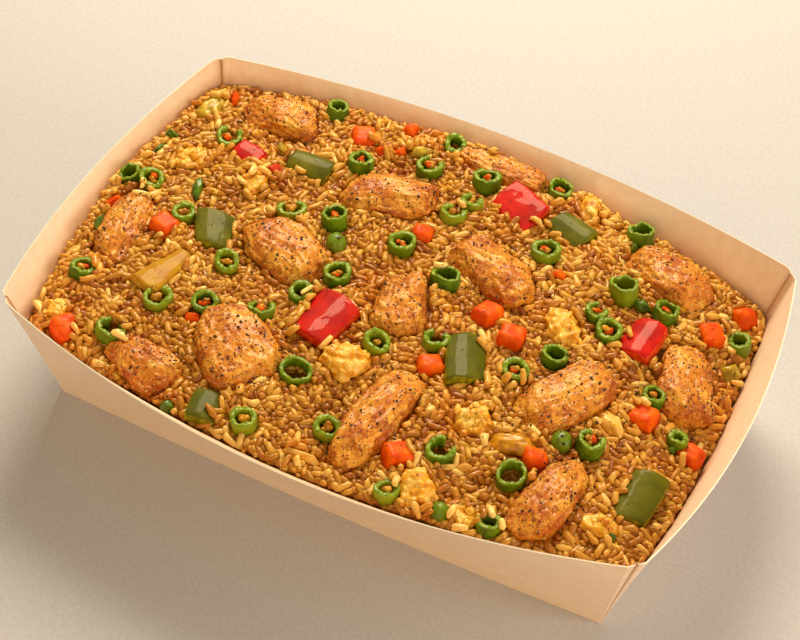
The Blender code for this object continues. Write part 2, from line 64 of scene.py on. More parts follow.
# Tray: sizes between the sharp corners, and how far each side bows out past them.
RIM_LENGTH = 240 * MM
RIM_WIDTH = 153 * MM
BASE_LENGTH = 216.2 * MM
BASE_WIDTH = 121.2 * MM
CORNER_HEIGHT = 56.9 * MM
RIM_DIP = 4.3 * MM
LONG_SIDE_BOW = 18.6 * MM
SHORT_SIDE_BOW = 9.9 * MM
BASE_BOW = 2.3 * MM
BOARD = 1.0 * MM
BOARD_EDGE = 0.45 * MM
FOLD_DEPTH = 0.7 * MM
STAIN_HEIGHT = 6 * MM
GUSSET_AT_RIM = 3.7 * MM
GUSSET_AT_BASE = 0.8 * MM

# Heap of rice: its height at the tray's corners, how far it rises between them, its crown.
FAR_LEFT_HEIGHT = 45 * MM
FAR_RIGHT_HEIGHT = 35.5 * MM
NEAR_RIGHT_HEIGHT = 43 * MM
NEAR_LEFT_HEIGHT = 37.5 * MM
FAR_RISE = 7.5 * MM
NEAR_RISE = 7.5 * MM
LEFT_RISE = 4.0 * MM
RIGHT_RISE = -4.5 * MM
CROWN_HEIGHT = 51.5 * MM
CROWN_POWER = 5

# Grains: their sizes, and the layers in which they fall on the core.
GRAIN_LENGTHS = (3.9 * MM, 6.7 * MM)
GRAIN_WIDTHS = (2.1 * MM, 2.95 * MM)
GRAIN_CRUSH = 0.76
GRAIN_BEND = 1.3 * MM
GRAIN_DEPTH = 3.3 * MM
CORE_ROOM = 1.3 * MM
CORE_GRID = (120, 80)
GRAIN_SPACING = 2.9 * MM
GRAIN_SPANS = (132 * MM, 98 * MM)
GRAIN_LAYERS = 4
LAYER_STEP = 1.8 * MM
SETTLING_STEPS = 80
STRAYS_KEPT = 0.06
MOST_TRIANGLES = 190_000
GRAVITY_STEP = 0.14 * MM
# Along a grain from -1 to 1, and how wide it is there; then where its four spheres stand.
GRAIN_PROFILE = ((-0.93, 0.68), (-0.5, 1.0), (0.5, 1.0), (0.93, 0.68))
SPHERES = np.array((-1, -1 / 3, 1 / 3, 1))

# The grid of distances from the toppings: its step, how far it reads and its two corners.
FIELD_STEP = 1.3 * MM
FIELD_REACH = 4.0 * MM
FIELD_LOW = (-133 * MM, -98 * MM, 24 * MM)
FIELD_HIGH = (133 * MM, 98 * MM, 64 * MM)

# A ring's full wall, and the heading to which its leans belong.
RING_WALL = 2.1 * MM
RING_HEADING = math.radians(22)
# Across the ring's wall from inside to outside, and up it from -1 to 1, round its section.
RING_SECTION = (
    (0.0, -0.9), (0.2, -1.0), (0.8, -1.0), (1.0, -0.9), (1.03, -0.3), (1.02, 0.5),
    (1.0, 0.93), (0.95, 1.0), (0.5, 1.0), (0.06, 1.0), (0.01, 0.9), (-0.04, 0.0),
)
RING_FORMS = {
    # wall's share of the full wall, arc in degrees, how far an open end springs out
    "tube": (0.66, 360, 0.0),
    "thick": (0.88, 360, 0.0),
    "open": (0.86, 292, 0.14),
}
RING_STEPS = 36

# Rings of green onion: x, y, diameter, height, lean to the far side, lean to the right in mm
# and degrees, then the form and what shows inside.
RINGS = (
    (9, 13.4, 10.2, 6.5, 14, 0, "tube", None),
    (67, 41.6, 10.8, 7.2, 14, -4, "tube", None),
    (84, 39.6, 9.6, 6.8, 12, 10, "tube", "orange"),
    (-40, 21.6, 9.8, 7, 8, -4, "tube", "orange"),
    (-12.6, 21.8, 10, 6, -2, 4, "thick", "orange"),
    (34.8, 44.2, 10.4, 7, 2, 0, "thick", "orange"),
    (-16.7, -52, 11, 5, -8, 4, "tube", None),
    (1.4, -26.6, 9.6, 5.5, -6, 12, "thick", "pale"),
    (84, -30.6, 9.8, 6, 6, 8, "open", "orange"),
    (67, -57, 10.8, 4.6, -2, -4, "tube", None),
    (60.8, 75, 10.4, 8, 16, 0, "tube", None),
    (0, 68.6, 10.2, 7.5, 10, 0, "thick", "orange"),
    (-45.4, 53.2, 9.2, 7, 6, 0, "thick", "orange"),
    (58.4, -1.8, 9.2, 6, 4, 4, "tube", None),
    (-22, -78.6, 9.8, 5.5, 4, -6, "thick", "pale"),
)
FUSED_RINGS = (
    (-118.6, 8.6, 8.8, 5.5, -6, -26, "tube", None),
    (-110.2, 8.8, 9.6, 5, -8, 6, "thick", "orange"),
    (-96.4, 42, 10, 5.5, -4, 4, "open", "orange"),
    (-89.4, -3, 9, 5, 4, 0, "thick", "orange"),
    (-108.4, -41.6, 9.4, 5, 8, 10, "thick", "orange"),
    (-75.8, -45, 10, 5, -8, 0, "open", "pale"),
    (-59.4, -39, 9.4, 5.5, -14, -6, "thick", "orange"),
    (-83.6, -64, 10, 5, 2, 12, "open", None),
    (-63.2, -17.6, 9.2, 5, -12, 6, "thick", "pale"),
    (-68.2, 77.6, 9, 7, 14, 10, "tube", None),
    (-22.4, 65, 10.2, 5.5, 0, 0, "open", "orange"),
    (-56, 17, 10.6, 4.5, 12, 0, "open", "pale"),
    (-3.6, 45.4, 9, 5.5, 6, 6, "open", "pale"),
    (-0.2, 55.2, 8, 4.5, 4, 0, "open", "pale"),
    (25.2, 81, 9.4, 6.5, -4, 4, "tube", "orange"),
    (-19.8, 83, 8.8, 5, -14, 0, "thick", None),
    (-32.8, -18.2, 8.6, 5, -6, 0, "thick", None),
    (-41.2, -33, 9.4, 5, 18, 6, "open", "orange"),
    (18.6, -15.4, 8.8, 5, 2, 6, "open", None),
    (49, -14, 9.2, 5, -14, 0, "thick", "orange"),
    (62.4, 26.4, 8, 4.5, 0, 0, "open", "orange"),
    (70, 20, 10, 5, -4, 0, "thick", "orange"),
    (41.6, -59, 10.2, 5, -4, 0, "open", None),
    (33.4, -82, 8.6, 4.5, 6, 0, "thick", "pale"),
    (68.4, -77.6, 8.4, 4.5, 8, 0, "thick", None),
    (4.4, -69, 9.2, 5, -10, 6, "thick", "pale"),
    (108.6, -8.4, 7.2, 5, 4, 0, "thick", None),
    (111, 48.6, 9, 5.5, 4, -8, "thick", None),
    (94.7, 1.4, 8.4, 5.5, 6, 6, "tube", "orange"),
    (-25.8, -3.6, 10, 5.5, -2, 4, "thick", "orange"),
)
# Crumbs and slivers in the rice: kind, x, y, length, width, height, how proud, yaw.
BITS = (
    ("egg", -103, 27, 16, 11, 7, 2.0, 80),
    ("egg", 39, 78, 15, 9, 8, 2.6, -60),
    ("egg", 60, -78.6, 10, 8.5, 7, 2.6, 0),
    ("egg", -76, 26, 14, 10, 6, 2.0, -70),
    ("egg", 46, -41, 14, 12, 7, 2.2, 80),
    ("egg", -106.5, -62, 11, 8, 7, 2.4, -50),
    ("egg", 100, -60, 12, 9, 7, 2.4, 20),
    ("pale", 86.5, -17.5, 13, 8, 6, 2.2, -20),
    ("brown", 62, -44, 16, 8.5, 7, 2.8, 20),
    ("olive", -112, 57, 15, 9, 7, 2.6, 75),
    ("olive", 112.5, 35, 10, 7, 6, 2.0, 70),
    ("carrot", -117.5, -6, 8, 5, 6, 2.0, 80),
    ("pale", 2, -81.8, 14, 4, 5, 2.0, 3),
    ("carrot", -107, 66.5, 9, 3, 6, 2.5, -70),
    ("carrot", -38, 82, 7, 6, 6, 3.0, 0),
    ("carrot", -36.5, 68, 6, 4.5, 5, 2.4, 30),
    ("carrot", -42.5, 64, 5, 4, 4, 2.2, 0),
    ("carrot", 43, 37.5, 6, 4.5, 4, 2.0, 0),
    ("carrot", -60.8, -46, 6, 4, 5, 1.8, 10),
    ("red", -72.5, 35, 6, 4.5, 5, 2.4, 60),
    ("green", -116.3, -18, 7.5, 4, 5, 2.4, -70),
    ("green", -49, -82.8, 5.5, 5, 5, 2.4, 0),
    ("green", -92.5, 12.5, 11, 3.5, 5, 1.8, -70),
    ("olive", -75, 46.5, 6, 4, 4, 2.5, -20),
    ("green", -117.5, 27, 7, 3, 5, 2.2, 85),
    ("green", -117.5, 36, 5, 4, 4, 2.2, 0),
    ("green", 104.5, -61, 5, 4, 4, 2.2, 0),
    ("green", 75.2, 39.6, 7, 5, 5, 1.6, 0),
    ("green", 61, 66.5, 4, 5, 5, 2.2, 0),
    ("green", 108.4, -12.6, 4, 3, 4, 2.2, 0),
    ("olive", -29.5, 73, 9, 6, 5, 1.8, 40),
)
# The finish that each kind of crumb has in the record.
CRUMB_SLOTS = {
    "egg": "egg", "pale": "yellow_pepper", "brown": "rice", "olive": "green_pepper",
    "carrot": "carrot", "red": "red_pepper", "green": "green_onion",
}
SCATTERED_CRUMBS = 380

# Peas: x, y and diameter in mm.
PEAS = ((-33.8, 11, 7.6), (75.5, -34.6, 7.2))
FUSED_PEAS = ((52.2, -80.6, 6.6),)

# Black pepper: the specks off the chicken, the chicken's area for each of its specks, the
# height from which they drop and how far out they lie.
LOOSE_SPECKS = 1200
ROOM_FOR_SPECK = 4.6 * MM * MM
SPECK_DROP = 0.09
SPECK_SPANS = (0.128, 0.093)


def mixed(a, b, t):
    return a + (b - a) * t


def smooth_step(low, high, value):
    t = np.clip((value - low) / (high - low), 0, 1)
    return t * t * (3 - 2 * t)


def srgb(red, green, blue):
    """A colour as a screen shows it, 0 to 255, in the linear values that shaders take."""
    linear = [(c / 255 + 0.055) / 1.055 for c in (red, green, blue)]
    return (*[c**2.4 for c in linear], 1)


# Forms of the tray and the heap, from the same formulas as their solids.


def tray_spans(u, v, t):
    """Half the tray's outer length and width at level t, for a place u, v across it."""
    length = mixed(BASE_LENGTH, RIM_LENGTH, t) / 2 + SHORT_SIDE_BOW * t * t * (1 - v * v)
    bow = mixed(BASE_BOW, LONG_SIDE_BOW, t * t)
    width = mixed(BASE_WIDTH, RIM_WIDTH, t) / 2 + bow * (1 - u * u)
    return length, width


def rim_height(u, v):
    along = np.minimum(abs(u), abs(v))
    return CORNER_HEIGHT - RIM_DIP * (1 - along * along)


def heap_height(u, v):
    """Height of the heap's top, from its edge at the tray up to its crown."""
    reach = np.maximum(np.maximum(abs(u), abs(v)), 0.001)
    far = (1 + v / reach) / 2
    right = (1 + u / reach) / 2
    near_side = mixed(NEAR_LEFT_HEIGHT, NEAR_RIGHT_HEIGHT, right)
    far_side = mixed(FAR_LEFT_HEIGHT, FAR_RIGHT_HEIGHT, right)
    edge = mixed(near_side, far_side, far)
    edge = edge + (1 - (u / reach) ** 2) * mixed(NEAR_RISE, FAR_RISE, far)
    edge = edge + (1 - (v / reach) ** 2) * mixed(LEFT_RISE, RIGHT_RISE, right)
    return CROWN_HEIGHT - (CROWN_HEIGHT - edge) * reach**CROWN_POWER


def tray_place(x, y, z=None):
    """Where a place lies across the tray, as u and v, and the heap's height there."""
    u = v = 0 * x
    height = CROWN_HEIGHT + 0 * x
    for _ in range(6):
        length, width = tray_spans(u, v, (height if z is None else z) / CORNER_HEIGHT)
        u = np.clip(x / length, -1, 1)
        v = np.clip(y / width, -1, 1)
        height = heap_height(u, v)
    return u, v, height


def on_heap(x, y):
    """The place on the heap's surface over a place in mm."""
    x, y = np.float64(x * MM), np.float64(y * MM)
    return np.array((x, y, tray_place(x, y)[2]))


# Camera, lights and floor.


def new_object(name, data):
    made = bpy.data.objects.new(name, data)
    bpy.context.scene.collection.objects.link(made)
    return made


def add_camera():
    data = bpy.data.cameras.new("camera")
    data.sensor_width = SENSOR_WIDTH
    data.lens = FOCAL_PIXELS / PICTURE_WIDTH * SENSOR_WIDTH
    camera = new_object("camera", data)
    camera.matrix_world = (Matrix.Translation(VIEW_AIM) @ Matrix.Rotation(VIEW_AZIMUTH, 4, "Z")
                           @ Matrix.Rotation(math.pi / 2 - VIEW_ELEVATION, 4, "X")
                           @ Matrix.Rotation(VIEW_ROLL, 4, "Z")
                           @ Matrix.Translation((0, 0, VIEW_DISTANCE)))
    bpy.context.scene.camera = camera


def add_light(name, place, size, power, colour):
    """A soft square light that faces the food."""
    data = bpy.data.lights.new(name, "AREA")
    data.size = size
    data.energy = power
    data.color = colour
    light = new_object(name, data)
    light.location = place
    light.rotation_euler = (VIEW_AIM - light.location).to_track_quat("-Z", "Y").to_euler()


def add_surroundings():
    for light in LIGHTS:
        add_light(*light)
    world = bpy.data.worlds.new("studio")
    bpy.context.scene.world = world
    world.use_nodes = True
    background = world.node_tree.nodes["Background"]
    background.inputs["Color"].default_value = (*WORLD_COLOUR, 1)
    background.inputs["Strength"].default_value = WORLD_STRENGTH
    bpy.context.scene.view_settings.view_transform = "Standard"
    mesh = bpy.data.meshes.new("floor")
    mesh.from_pydata([(x * FLOOR_REACH, y * FLOOR_REACH, 0)
                      for x, y in ((-1, -1), (1, -1), (1, 1), (-1, 1))], [], [(0, 1, 2, 3)])
    mesh.materials.append(plain_look("floor", (0.75,), (700, 3),
                                     ((0.35, 186, 187, 200), (0.65, 196, 197, 210))))
    new_object("floor", mesh)


# Materials. Their colours are red, green and blue as a screen shows them, 0 to 255.

# How far red, green and blue light spread under most of the food's surface.
WARM = (1.0, 0.45, 0.2)


class Look:
    """One material: a Principled shader, and short ways to add the nodes that feed it."""

    def __init__(self, name, roughness, shine=0.5, coat=None, flesh=None):
        """A coat is its weight and roughness; flesh is the light's share, depth and tint."""
        self.material = bpy.data.materials.new(name)
        self.material.use_nodes = True
        self.tree = self.material.node_tree
        self.shader = self.tree.nodes["Principled BSDF"]
        self.place = self.node("ShaderNodeTexCoord", "Object", {})
        self.feed(self.shader, {"Roughness": roughness, "Specular IOR Level": shine})
        if coat:
            self.feed(self.shader, dict(zip(("Coat Weight", "Coat Roughness"), coat)))
        if flesh:
            sockets = ("Subsurface Weight", "Subsurface Scale", "Subsurface Radius")
            self.feed(self.shader, dict(zip(sockets, flesh)))

    def feed(self, node, inputs):
        """Give a node its inputs: each is another node's output, or a value to hold."""
        for socket, value in inputs.items():
            if isinstance(value, bpy.types.NodeSocket):
                self.tree.links.new(value, node.inputs[socket])
            else:
                node.inputs[socket].default_value = value

    def node(self, kind, output, inputs, **settings):
        made = self.tree.nodes.new(kind)
        for name, value in settings.items():
            setattr(made, name, value)
        self.feed(made, inputs)
        return made.outputs[output]

    def stretched(self, scale):
        return self.node("ShaderNodeMapping", "Vector", {"Scale": scale, "Vector": self.place})

    def noise(self, scale, detail=3, roughness=0.55, place=None):
        return self.node("ShaderNodeTexNoise", "Fac", {
            "Scale": scale, "Detail": detail, "Roughness": roughness,
            "Vector": place or self.place})

    def attribute(self, name):
        return self.node("ShaderNodeAttribute", "Fac", {}, attribute_name=name)

    def ramp(self, factor, *stops):
        """Colours along a factor; each stop is its position and its red, green and blue."""
        made = self.tree.nodes.new("ShaderNodeValToRGB")
        elements = made.color_ramp.elements
        while len(elements) < len(stops):
            elements.new(0.5)
        for element, (position, *colour) in zip(elements, stops):
            element.position = position
            element.color = srgb(*colour)
        self.feed(made, {"Fac": factor})
        return made.outputs["Color"]

    def mask(self, factor, low, high, most=1.0):
        """A factor stretched so that low gives 0 and high gives the most."""
        return self.node("ShaderNodeMapRange", "Result", {
            "Value": factor, "From Min": low, "From Max": high, "To Max": most},
            interpolation_type="SMOOTHSTEP")

    def mix(self, factor, first, second, blend="MIX"):
        """Mix a colour from other nodes with a fixed one, or with another."""
        if isinstance(second, tuple):
            second = srgb(*second)
        return self.node("ShaderNodeMix", 2, {0: factor, 6: first, 7: second},
                         data_type="RGBA", blend_type=blend)

    def colour(self, source):
        self.feed(self.shader, {"Base Color": source})

    def bump(self, *heights):
        """Chain bumps; each is a height, its strength and its depth in metres."""
        normal = {}
        for height, strength, depth in heights:
            normal = {"Normal": self.node("ShaderNodeBump", "Normal", {
                "Height": height, "Strength": strength, "Distance": depth, **normal})}
        self.feed(self.shader, normal)


def plain_look(name, surface, grain, stops, *bumps, stretch=(1, 1, 1)):
    """Colours along one noise, over bumps that are each noise, strength and depth in mm."""
    look = Look(name, *surface)
    spread = look.noise(*grain, place=look.stretched(stretch))
    look.colour(look.ramp(spread, *stops))
    look.bump(*((look.noise(*noise), strength, depth * MM) for noise, strength, depth in bumps))
    return look.material


def crumb_look(name, dark, light):
    return plain_look(f"{name}_crumb", (0.4, 0.25, (0.4, 0.2), (0.2, 1.4 * MM, WARM)), (320, 3),
                      ((0.34, *dark), (0.64, *light)), ((900, 2), 0.3, 0.3))


def board_look(name, light, dark):
    look = Look(name, 0.6)
    paper = look.ramp(look.noise(300, 4), (0.35, *dark), (0.65, *light))
    stained = look.mix(look.attribute("stain"), paper, (196, 132, 62))
    # The corner creases are drawn darker in a colour of their own: painted shade.
    look.colour(look.mix(look.attribute("crease_shade"), stained, (168, 116, 66)))
    look.bump((look.noise(1400, 2), 0.12, 0.1 * MM))
    return look.material


def rice_look():
    look = Look("rice_grain", 0.4, 0.3, (0.32, 0.15), (0.35, 1.5 * MM, (1.0, 0.5, 0.18)))
    # Each grain's tint is its own random tone and also painted shade: grains that lie deeper get
    # darker tints.
    base = look.ramp(look.attribute("tint"), (0.0, 156, 88, 10), (0.3, 190, 128, 32),
                     (0.65, 222, 168, 66), (1.0, 255, 218, 134))
    sauced = look.mix(look.mask(look.noise(42, 2), 0.48, 0.68), base, (246, 216, 150), "MULTIPLY")
    look.colour(look.mix(look.mask(look.noise(900, 2), 0.58, 0.8, 0.5), sauced, (196, 120, 36)))
    look.bump((look.noise(1500, 2), 0.4, 0.25 * MM), (look.noise(620, 2), 0.6, 0.6 * MM))
    return look.material


def chicken_look():
    look = Look("chicken", 0.46, 0.3, (0.25, 0.16), (0.12, 1.4 * MM, (1.0, 0.42, 0.16)))
    fine = look.noise(520, 4, 0.65)
    crust = look.noise(820, 4, 0.7)
    flesh = look.ramp(look.noise(110, 3), (0.30, 206, 112, 10), (0.5, 228, 144, 28),
                      (0.68, 244, 178, 62))
    # Browned at random and on the upper sides, and browner in the fibre grooves, which is painted
    # shade.
    seared = look.mix(look.attribute("sear_and_groove_shade"), flesh, (184, 82, 10))
    # High relief is drawn lighter: painted highlight on the ridges.
    lit = look.mix(look.attribute("ridge_highlight"), seared, (252, 198, 88))
    # Light cream on the tops of the crust's bumps: partly the meat's cream tone, partly painted
    # highlight.
    cream_and_highlight = look.mix(look.mask(crust, 0.54, 0.68, 0.75), lit, (255, 214, 110))
    look.colour(look.mix(look.mask(fine, 0.51, 0.66, 0.85), cream_and_highlight, (152, 60, 2)))
    look.bump((look.noise(1300, 3, 0.65), 0.8, 0.35 * MM), (crust, 0.9, 0.6 * MM),
              (fine, 0.9, 0.9 * MM))
    return look.material


def pepper_look(name, skin, deep, flesh, coat=0.17):
    look = Look(f"{name}_look", 0.62, 0.15, (coat, 0.05), (0.12, 1.5 * MM, WARM))
    outside = look.ramp(look.noise(120, 2), (0.35, *deep), (0.65, *skin))
    inside = look.ramp(look.noise(500, 3), (0.3, *deep), (0.6, *flesh))
    look.colour(look.mix(look.mask(look.attribute("cut"), 0.35, 0.8), outside, inside))
    look.bump((look.noise(150, 2), 0.06, 0.5 * MM), (look.noise(900, 2), 0.08, 0.2 * MM))
    return look.material


def onion_look():
    look = Look("green_onion", 0.4, 0.25, (0.2, 0.18), (0.12, 1.0 * MM, (0.5, 1.0, 0.2)))
    tint = look.ramp(look.noise(170, 3), (0.32, 52, 84, 2), (0.52, 82, 118, 4),
                     (0.72, 114, 146, 12))
    age = look.mix(look.attribute("tint"), tint, (164, 172, 34))
    lip = look.ramp(look.noise(900, 2), (0.35, 92, 124, 10), (0.65, 146, 164, 38))
    look.colour(look.mix(look.attribute("cut"), age, lip))
    look.bump((look.noise(700, 2), 0.25, 0.25 * MM))
    return look.material


# Meshes.


def set_attribute(mesh, name, values):
    layer = mesh.attributes.new(name, "FLOAT", "POINT")
    layer.data.foreach_set("value", np.asarray(values, np.float32))


def mesh_piece(name, points, faces, material, **attributes):
    """A smooth-shaded piece from arrays of points and equal-sided faces, with its attributes."""
    mesh = bpy.data.meshes.new(name)
    mesh.vertices.add(len(points))
    mesh.vertices.foreach_set("co", points.astype(np.float32).ravel())
    mesh.loops.add(faces.size)
    mesh.loops.foreach_set("vertex_index", faces.astype(np.int32).ravel())
    mesh.polygons.add(len(faces))
    starts = np.arange(0, faces.size, faces.shape[1], dtype=np.int32)
    mesh.polygons.foreach_set("loop_start", starts)
    mesh.update(calc_edges=True)
    mesh.validate()
    mesh.shade_smooth()
    for key, values in attributes.items():
        set_attribute(mesh, key, values)
    mesh.materials.append(material)
    return new_object(name, mesh)


def vectors(mesh, key="co"):
    """The points of a mesh as an array, or their normals."""
    found = np.empty(len(mesh.vertices) * 3, np.float32)
    mesh.vertices.foreach_get(key, found)
    return found.reshape(-1, 3).astype(float)


def place_points(piece, points):
    piece.data.vertices.foreach_set("co", points.astype(np.float32).ravel())
    piece.data.update()


def apply_modifiers(piece):
    graph = bpy.context.evaluated_depsgraph_get()
    result = bpy.data.meshes.new_from_object(piece.evaluated_get(graph))
    piece.modifiers.clear()
    piece.data = result


def node_mesh(node):
    """A closed copy of a node's solid."""
    bm = bmesh.new()
    bm.from_mesh(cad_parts[node].data)
    bmesh.ops.remove_doubles(bm, verts=bm.verts, dist=0.01 * MM)
    return bm


def grown_piece(name, bm, material):
    mesh = bpy.data.meshes.new(name)
    bm.to_mesh(mesh)
    bm.free()
    mesh.materials.clear()
    mesh.materials.append(material)
    mesh.shade_smooth()
    return new_object(name, mesh)


def strip(first, second):
    """Four-sided faces between two closed rows of points."""
    return np.stack([first, second, np.roll(second, -1), np.roll(first, -1)], axis=1)


def long_axes(points):
    """The directions of a piece, longest first, as the rows of a matrix."""
    centred = points - points.mean(0)
    _, axes = np.linalg.eigh(centred.T @ centred)
    return axes.T[::-1]


def to_box(points, low, high):
    """Scale points to fill a box again."""
    own_low, own_high = points.min(0), points.max(0)
    return low + (points - own_low) / (own_high - own_low) * (high - low)


def turbulence(points, scale, seed, octaves=3):
    """Smooth random values at places, about -1 to 1."""
    shift = Vector((seed * 7.31, seed * 3.17, seed * 5.53))
    return np.array([
        noise.fractal(Vector(point) / scale + shift, 0.9, 2.0, octaves) for point in points
    ])


def hang(piece, slot, *nodes):
    """Hang the piece on the root body and hide the nodes that it stands for. Its finish, slot, is
    not used.
    """
    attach(piece, "root")
    if nodes:
        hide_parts(*nodes)


# The tray.


def tray_loop(t):
    """The tray's outer outline at one level, anticlockwise, and for each point how dark the
    painted shade along the corner creases is there.
    """
    gusset = mixed(GUSSET_AT_BASE, GUSSET_AT_RIM, t)
    along = np.linspace(-1, 1, 49) * (1 - 2 * gusset / RIM_LENGTH)
    across = np.linspace(-1, 1, 29) * (1 - 2 * gusset / RIM_WIDTH)
    sides = []
    for u, v in ((along, -1), (1, across), (-along, 1), (-1, -across)):
        u, v = np.broadcast_arrays(u, v)
        length, width = tray_spans(u, v, t)
        sides.append(np.stack([u * length, v * width, t * rim_height(u, v)], axis=1))
    points, crease_shades = [], []
    for side, following in zip(sides, sides[1:] + sides[:1]):
        points.extend(side)
        crease_shades.extend([0.0] * len(side))
        end, start = side[-1], following[0]
        middle = (end + start) / 2
        inward = -middle * (1, 1, 0) / np.hypot(middle[0], middle[1])
        # Across each corner: where a point lies between the sides, how far in it is pushed, and
        # how dark its painted crease shade is.
        for share, depth, crease_shade in ((0.38, 0, 0.25), (0.5, FOLD_DEPTH * (0.25 + 0.75 * t), 1.0),
                                   (0.62, 0, 0.25)):
            points.append(mixed(end, start, share) + inward * depth)
            crease_shades.append(crease_shade)
    return points, crease_shades


def make_tray(materials):
    """The folded board, as thick as it is, with its crisp creases and cut edge, and painted shade
    drawn along the creases at its corners.
    """
    bm = bmesh.new()
    # How dark the painted shade along the corner creases is at each point.
    layer = bm.verts.layers.float.new("crease_shade")
    rows = []
    for t in np.linspace(0, 1, 15):
        points, crease_shades = tray_loop(t)
        rows.append([bm.verts.new(point) for point in points])
        for vert, crease_shade in zip(rows[-1], crease_shades):
            vert[layer] = crease_shade
    for low, high in zip(rows, rows[1:]):
        for i, j in zip(range(len(low)), (*range(1, len(low)), 0)):
            bm.faces.new((low[i], low[j], high[j], high[i]))
    bm.faces.new(reversed(rows[0]))
    bmesh.ops.recalc_face_normals(bm, faces=bm.faces)
    tray = grown_piece("tray_board", bm, materials["board"])
    tray.data.materials.append(materials["board_edge"])
    shell = tray.modifiers.new("board", "SOLIDIFY")
    shell.thickness = BOARD_EDGE
    shell.offset = -1
    shell.use_even_offset = True
    shell.material_offset_rim = 1
    worn = tray.modifiers.new("worn", "BEVEL")
    worn.limit_method = "ANGLE"
    worn.angle_limit = math.radians(60)
    worn.width = 0.16 * MM
    worn.segments = 2
    apply_modifiers(tray)
    tray.data.set_sharp_from_angle(angle=math.radians(16))
    points = vectors(tray.data)
    height = tray_place(points[:, 0], points[:, 1], points[:, 2])[2]
    inside = (vectors(tray.data, "normal")[:, :2] * points[:, :2]).sum(1) < 0
    above = points[:, 2] + turbulence(points, 9 * MM, 3, 2) * 1.6 * MM - height
    stain = inside * (1 - smooth_step(0.5 * MM, STAIN_HEIGHT, above)) * 0.5
    set_attribute(tray.data, "stain", stain)
    hang(tray, "paperboard", "tray")


# Chicken, egg, peppers and carrots, each refined from its node.


def flattened(points, seed, cuts, depth):
    """Cut flat faces into a chunk, each a little inside its furthest point."""
    rng = random.Random(seed)
    middle = points.mean(0)
    for _ in range(cuts):
        azimuth = rng.uniform(0, math.tau)
        rise = rng.uniform(0.15, 0.95)
        level = math.sqrt(1 - rise * rise)
        normal = np.array((math.cos(azimuth) * level, math.sin(azimuth) * level, rise))
        reach = (points - middle) @ normal
        over = np.maximum(reach - (reach.max() - depth), 0)
        points = points - (over * 0.92)[:, None] * normal
    return points


def node_box(node):
    return [np.array(corner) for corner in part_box(node)]


def refined(node, material, cuts, depth, seed):
    """A node's solid in fine faces, brought to its own box, with flat cuts; and its points."""
    bm = node_mesh(node)
    bmesh.ops.join_triangles(bm, faces=bm.faces, angle_face_threshold=math.radians(50),
                             angle_shape_threshold=math.radians(50))
    crease = bm.edges.layers.float.new("crease_edge")
    for edge in bm.edges:
        edge[crease] = float(smooth_step(0.35, 0.8, edge.calc_face_angle(0))) * 0.6
    piece = grown_piece(f"{node}_look", bm, material)
    step = piece.modifiers.new("smooth", "SUBSURF")
    step.levels = step.render_levels = 3
    apply_modifiers(piece)
    points = flattened(to_box(vectors(piece.data), *node_box(node)), seed, cuts, depth)
    place_points(piece, points)
    return piece, points, vectors(piece.data, "normal")


def make_chicken(node, material, seed):
    """A chunk of chicken: flat cuts, threads of meat along it, ridges and pits, browned in patches
    and on its upper sides; painted shade in the grooves between its threads and painted highlight
    on its ridges.
    """
    piece, points, normals = refined(node, material, 7, 1.5 * MM, seed)
    along = (points - points.mean(0)) @ long_axes(points).T
    threads = np.abs(turbulence(along * (0.28, 1, 1), 2.3 * MM, seed, 2))
    bumps = turbulence(points, 5.0 * MM, seed + 50, 3)
    pits = turbulence(points, 1.7 * MM, seed + 90, 2)
    crust = turbulence(points, 0.95 * MM, seed + 70, 2)
    push = 0.55 * bumps + 0.5 * pits + 0.24 * crust - 0.8 * threads
    place_points(piece, points + normals * (push * MM)[:, None])
    low, high = node_box(node)
    height = (points[:, 2] - low[2]) / (high[2] - low[2])
    broad = turbulence(points, 8 * MM, seed + 20, 2)
    edge = smooth_step(0.25, 0.75, 1 - np.abs(normals[:, 2])) * smooth_step(0.2, 0.8, height)
    # Browning at random and on the upper sides; the fibre grooves are drawn browner too, which is
    # painted shade.
    sear_and_groove_shade = 0.8 * smooth_step(0.0, 0.75, 0.9 * broad + 0.35 * edge + 0.35 * threads + 0.1 * bumps)
    set_attribute(piece.data, "sear_and_groove_shade", sear_and_groove_shade)
    # The relief's high parts are drawn lighter: painted highlight on the ridges.
    set_attribute(piece.data, "ridge_highlight", 0.75 * smooth_step(0.15, 0.8, push - 0.5 * broad))
    hang(piece, "chicken", node)
    return piece


def make_egg(node, material, seed):
    """A lump of egg: soft curds, each a swelling of its own."""
    piece, points, normals = refined(node, material, 4, 1.2 * MM, seed)
    curds = np.array([noise.voronoi(Vector(point) / (2.6 * MM) + Vector((seed, 0, 0)))[0][0]
                      for point in points])
    push = 1.9 * (0.42 - curds) + 0.6 * turbulence(points, 6 * MM, seed, 3)
    place_points(piece, points + normals * (push * MM)[:, None])
    hang(piece, "egg", node)


def make_block(node, material, slot, voxel, rounds, wobble, seed):
    """A cut block: the node's solid in small faces, its edges worn round."""
    piece = grown_piece(f"{node}_look", node_mesh(node), material)
    step = piece.modifiers.new("faces", "REMESH")
    step.mode = "VOXEL"
    step.voxel_size = voxel
    ease = piece.modifiers.new("ease", "SMOOTH")
    ease.factor = 0.5
    ease.iterations = rounds
    apply_modifiers(piece)
    piece.data.shade_smooth()
    points = to_box(vectors(piece.data), *node_box(node))
    normals = vectors(piece.data, "normal")
    push = turbulence(points, 4.5 * MM, seed, 2) * wobble
    place_points(piece, points + normals * push[:, None])
    facing = np.abs(normals @ long_axes(points)[2])
    set_attribute(piece.data, "cut", 1 - smooth_step(0.35, 0.75, facing))
    hang(piece, slot, node)


def nodes_named(start):
    return sorted(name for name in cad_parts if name.startswith(start))


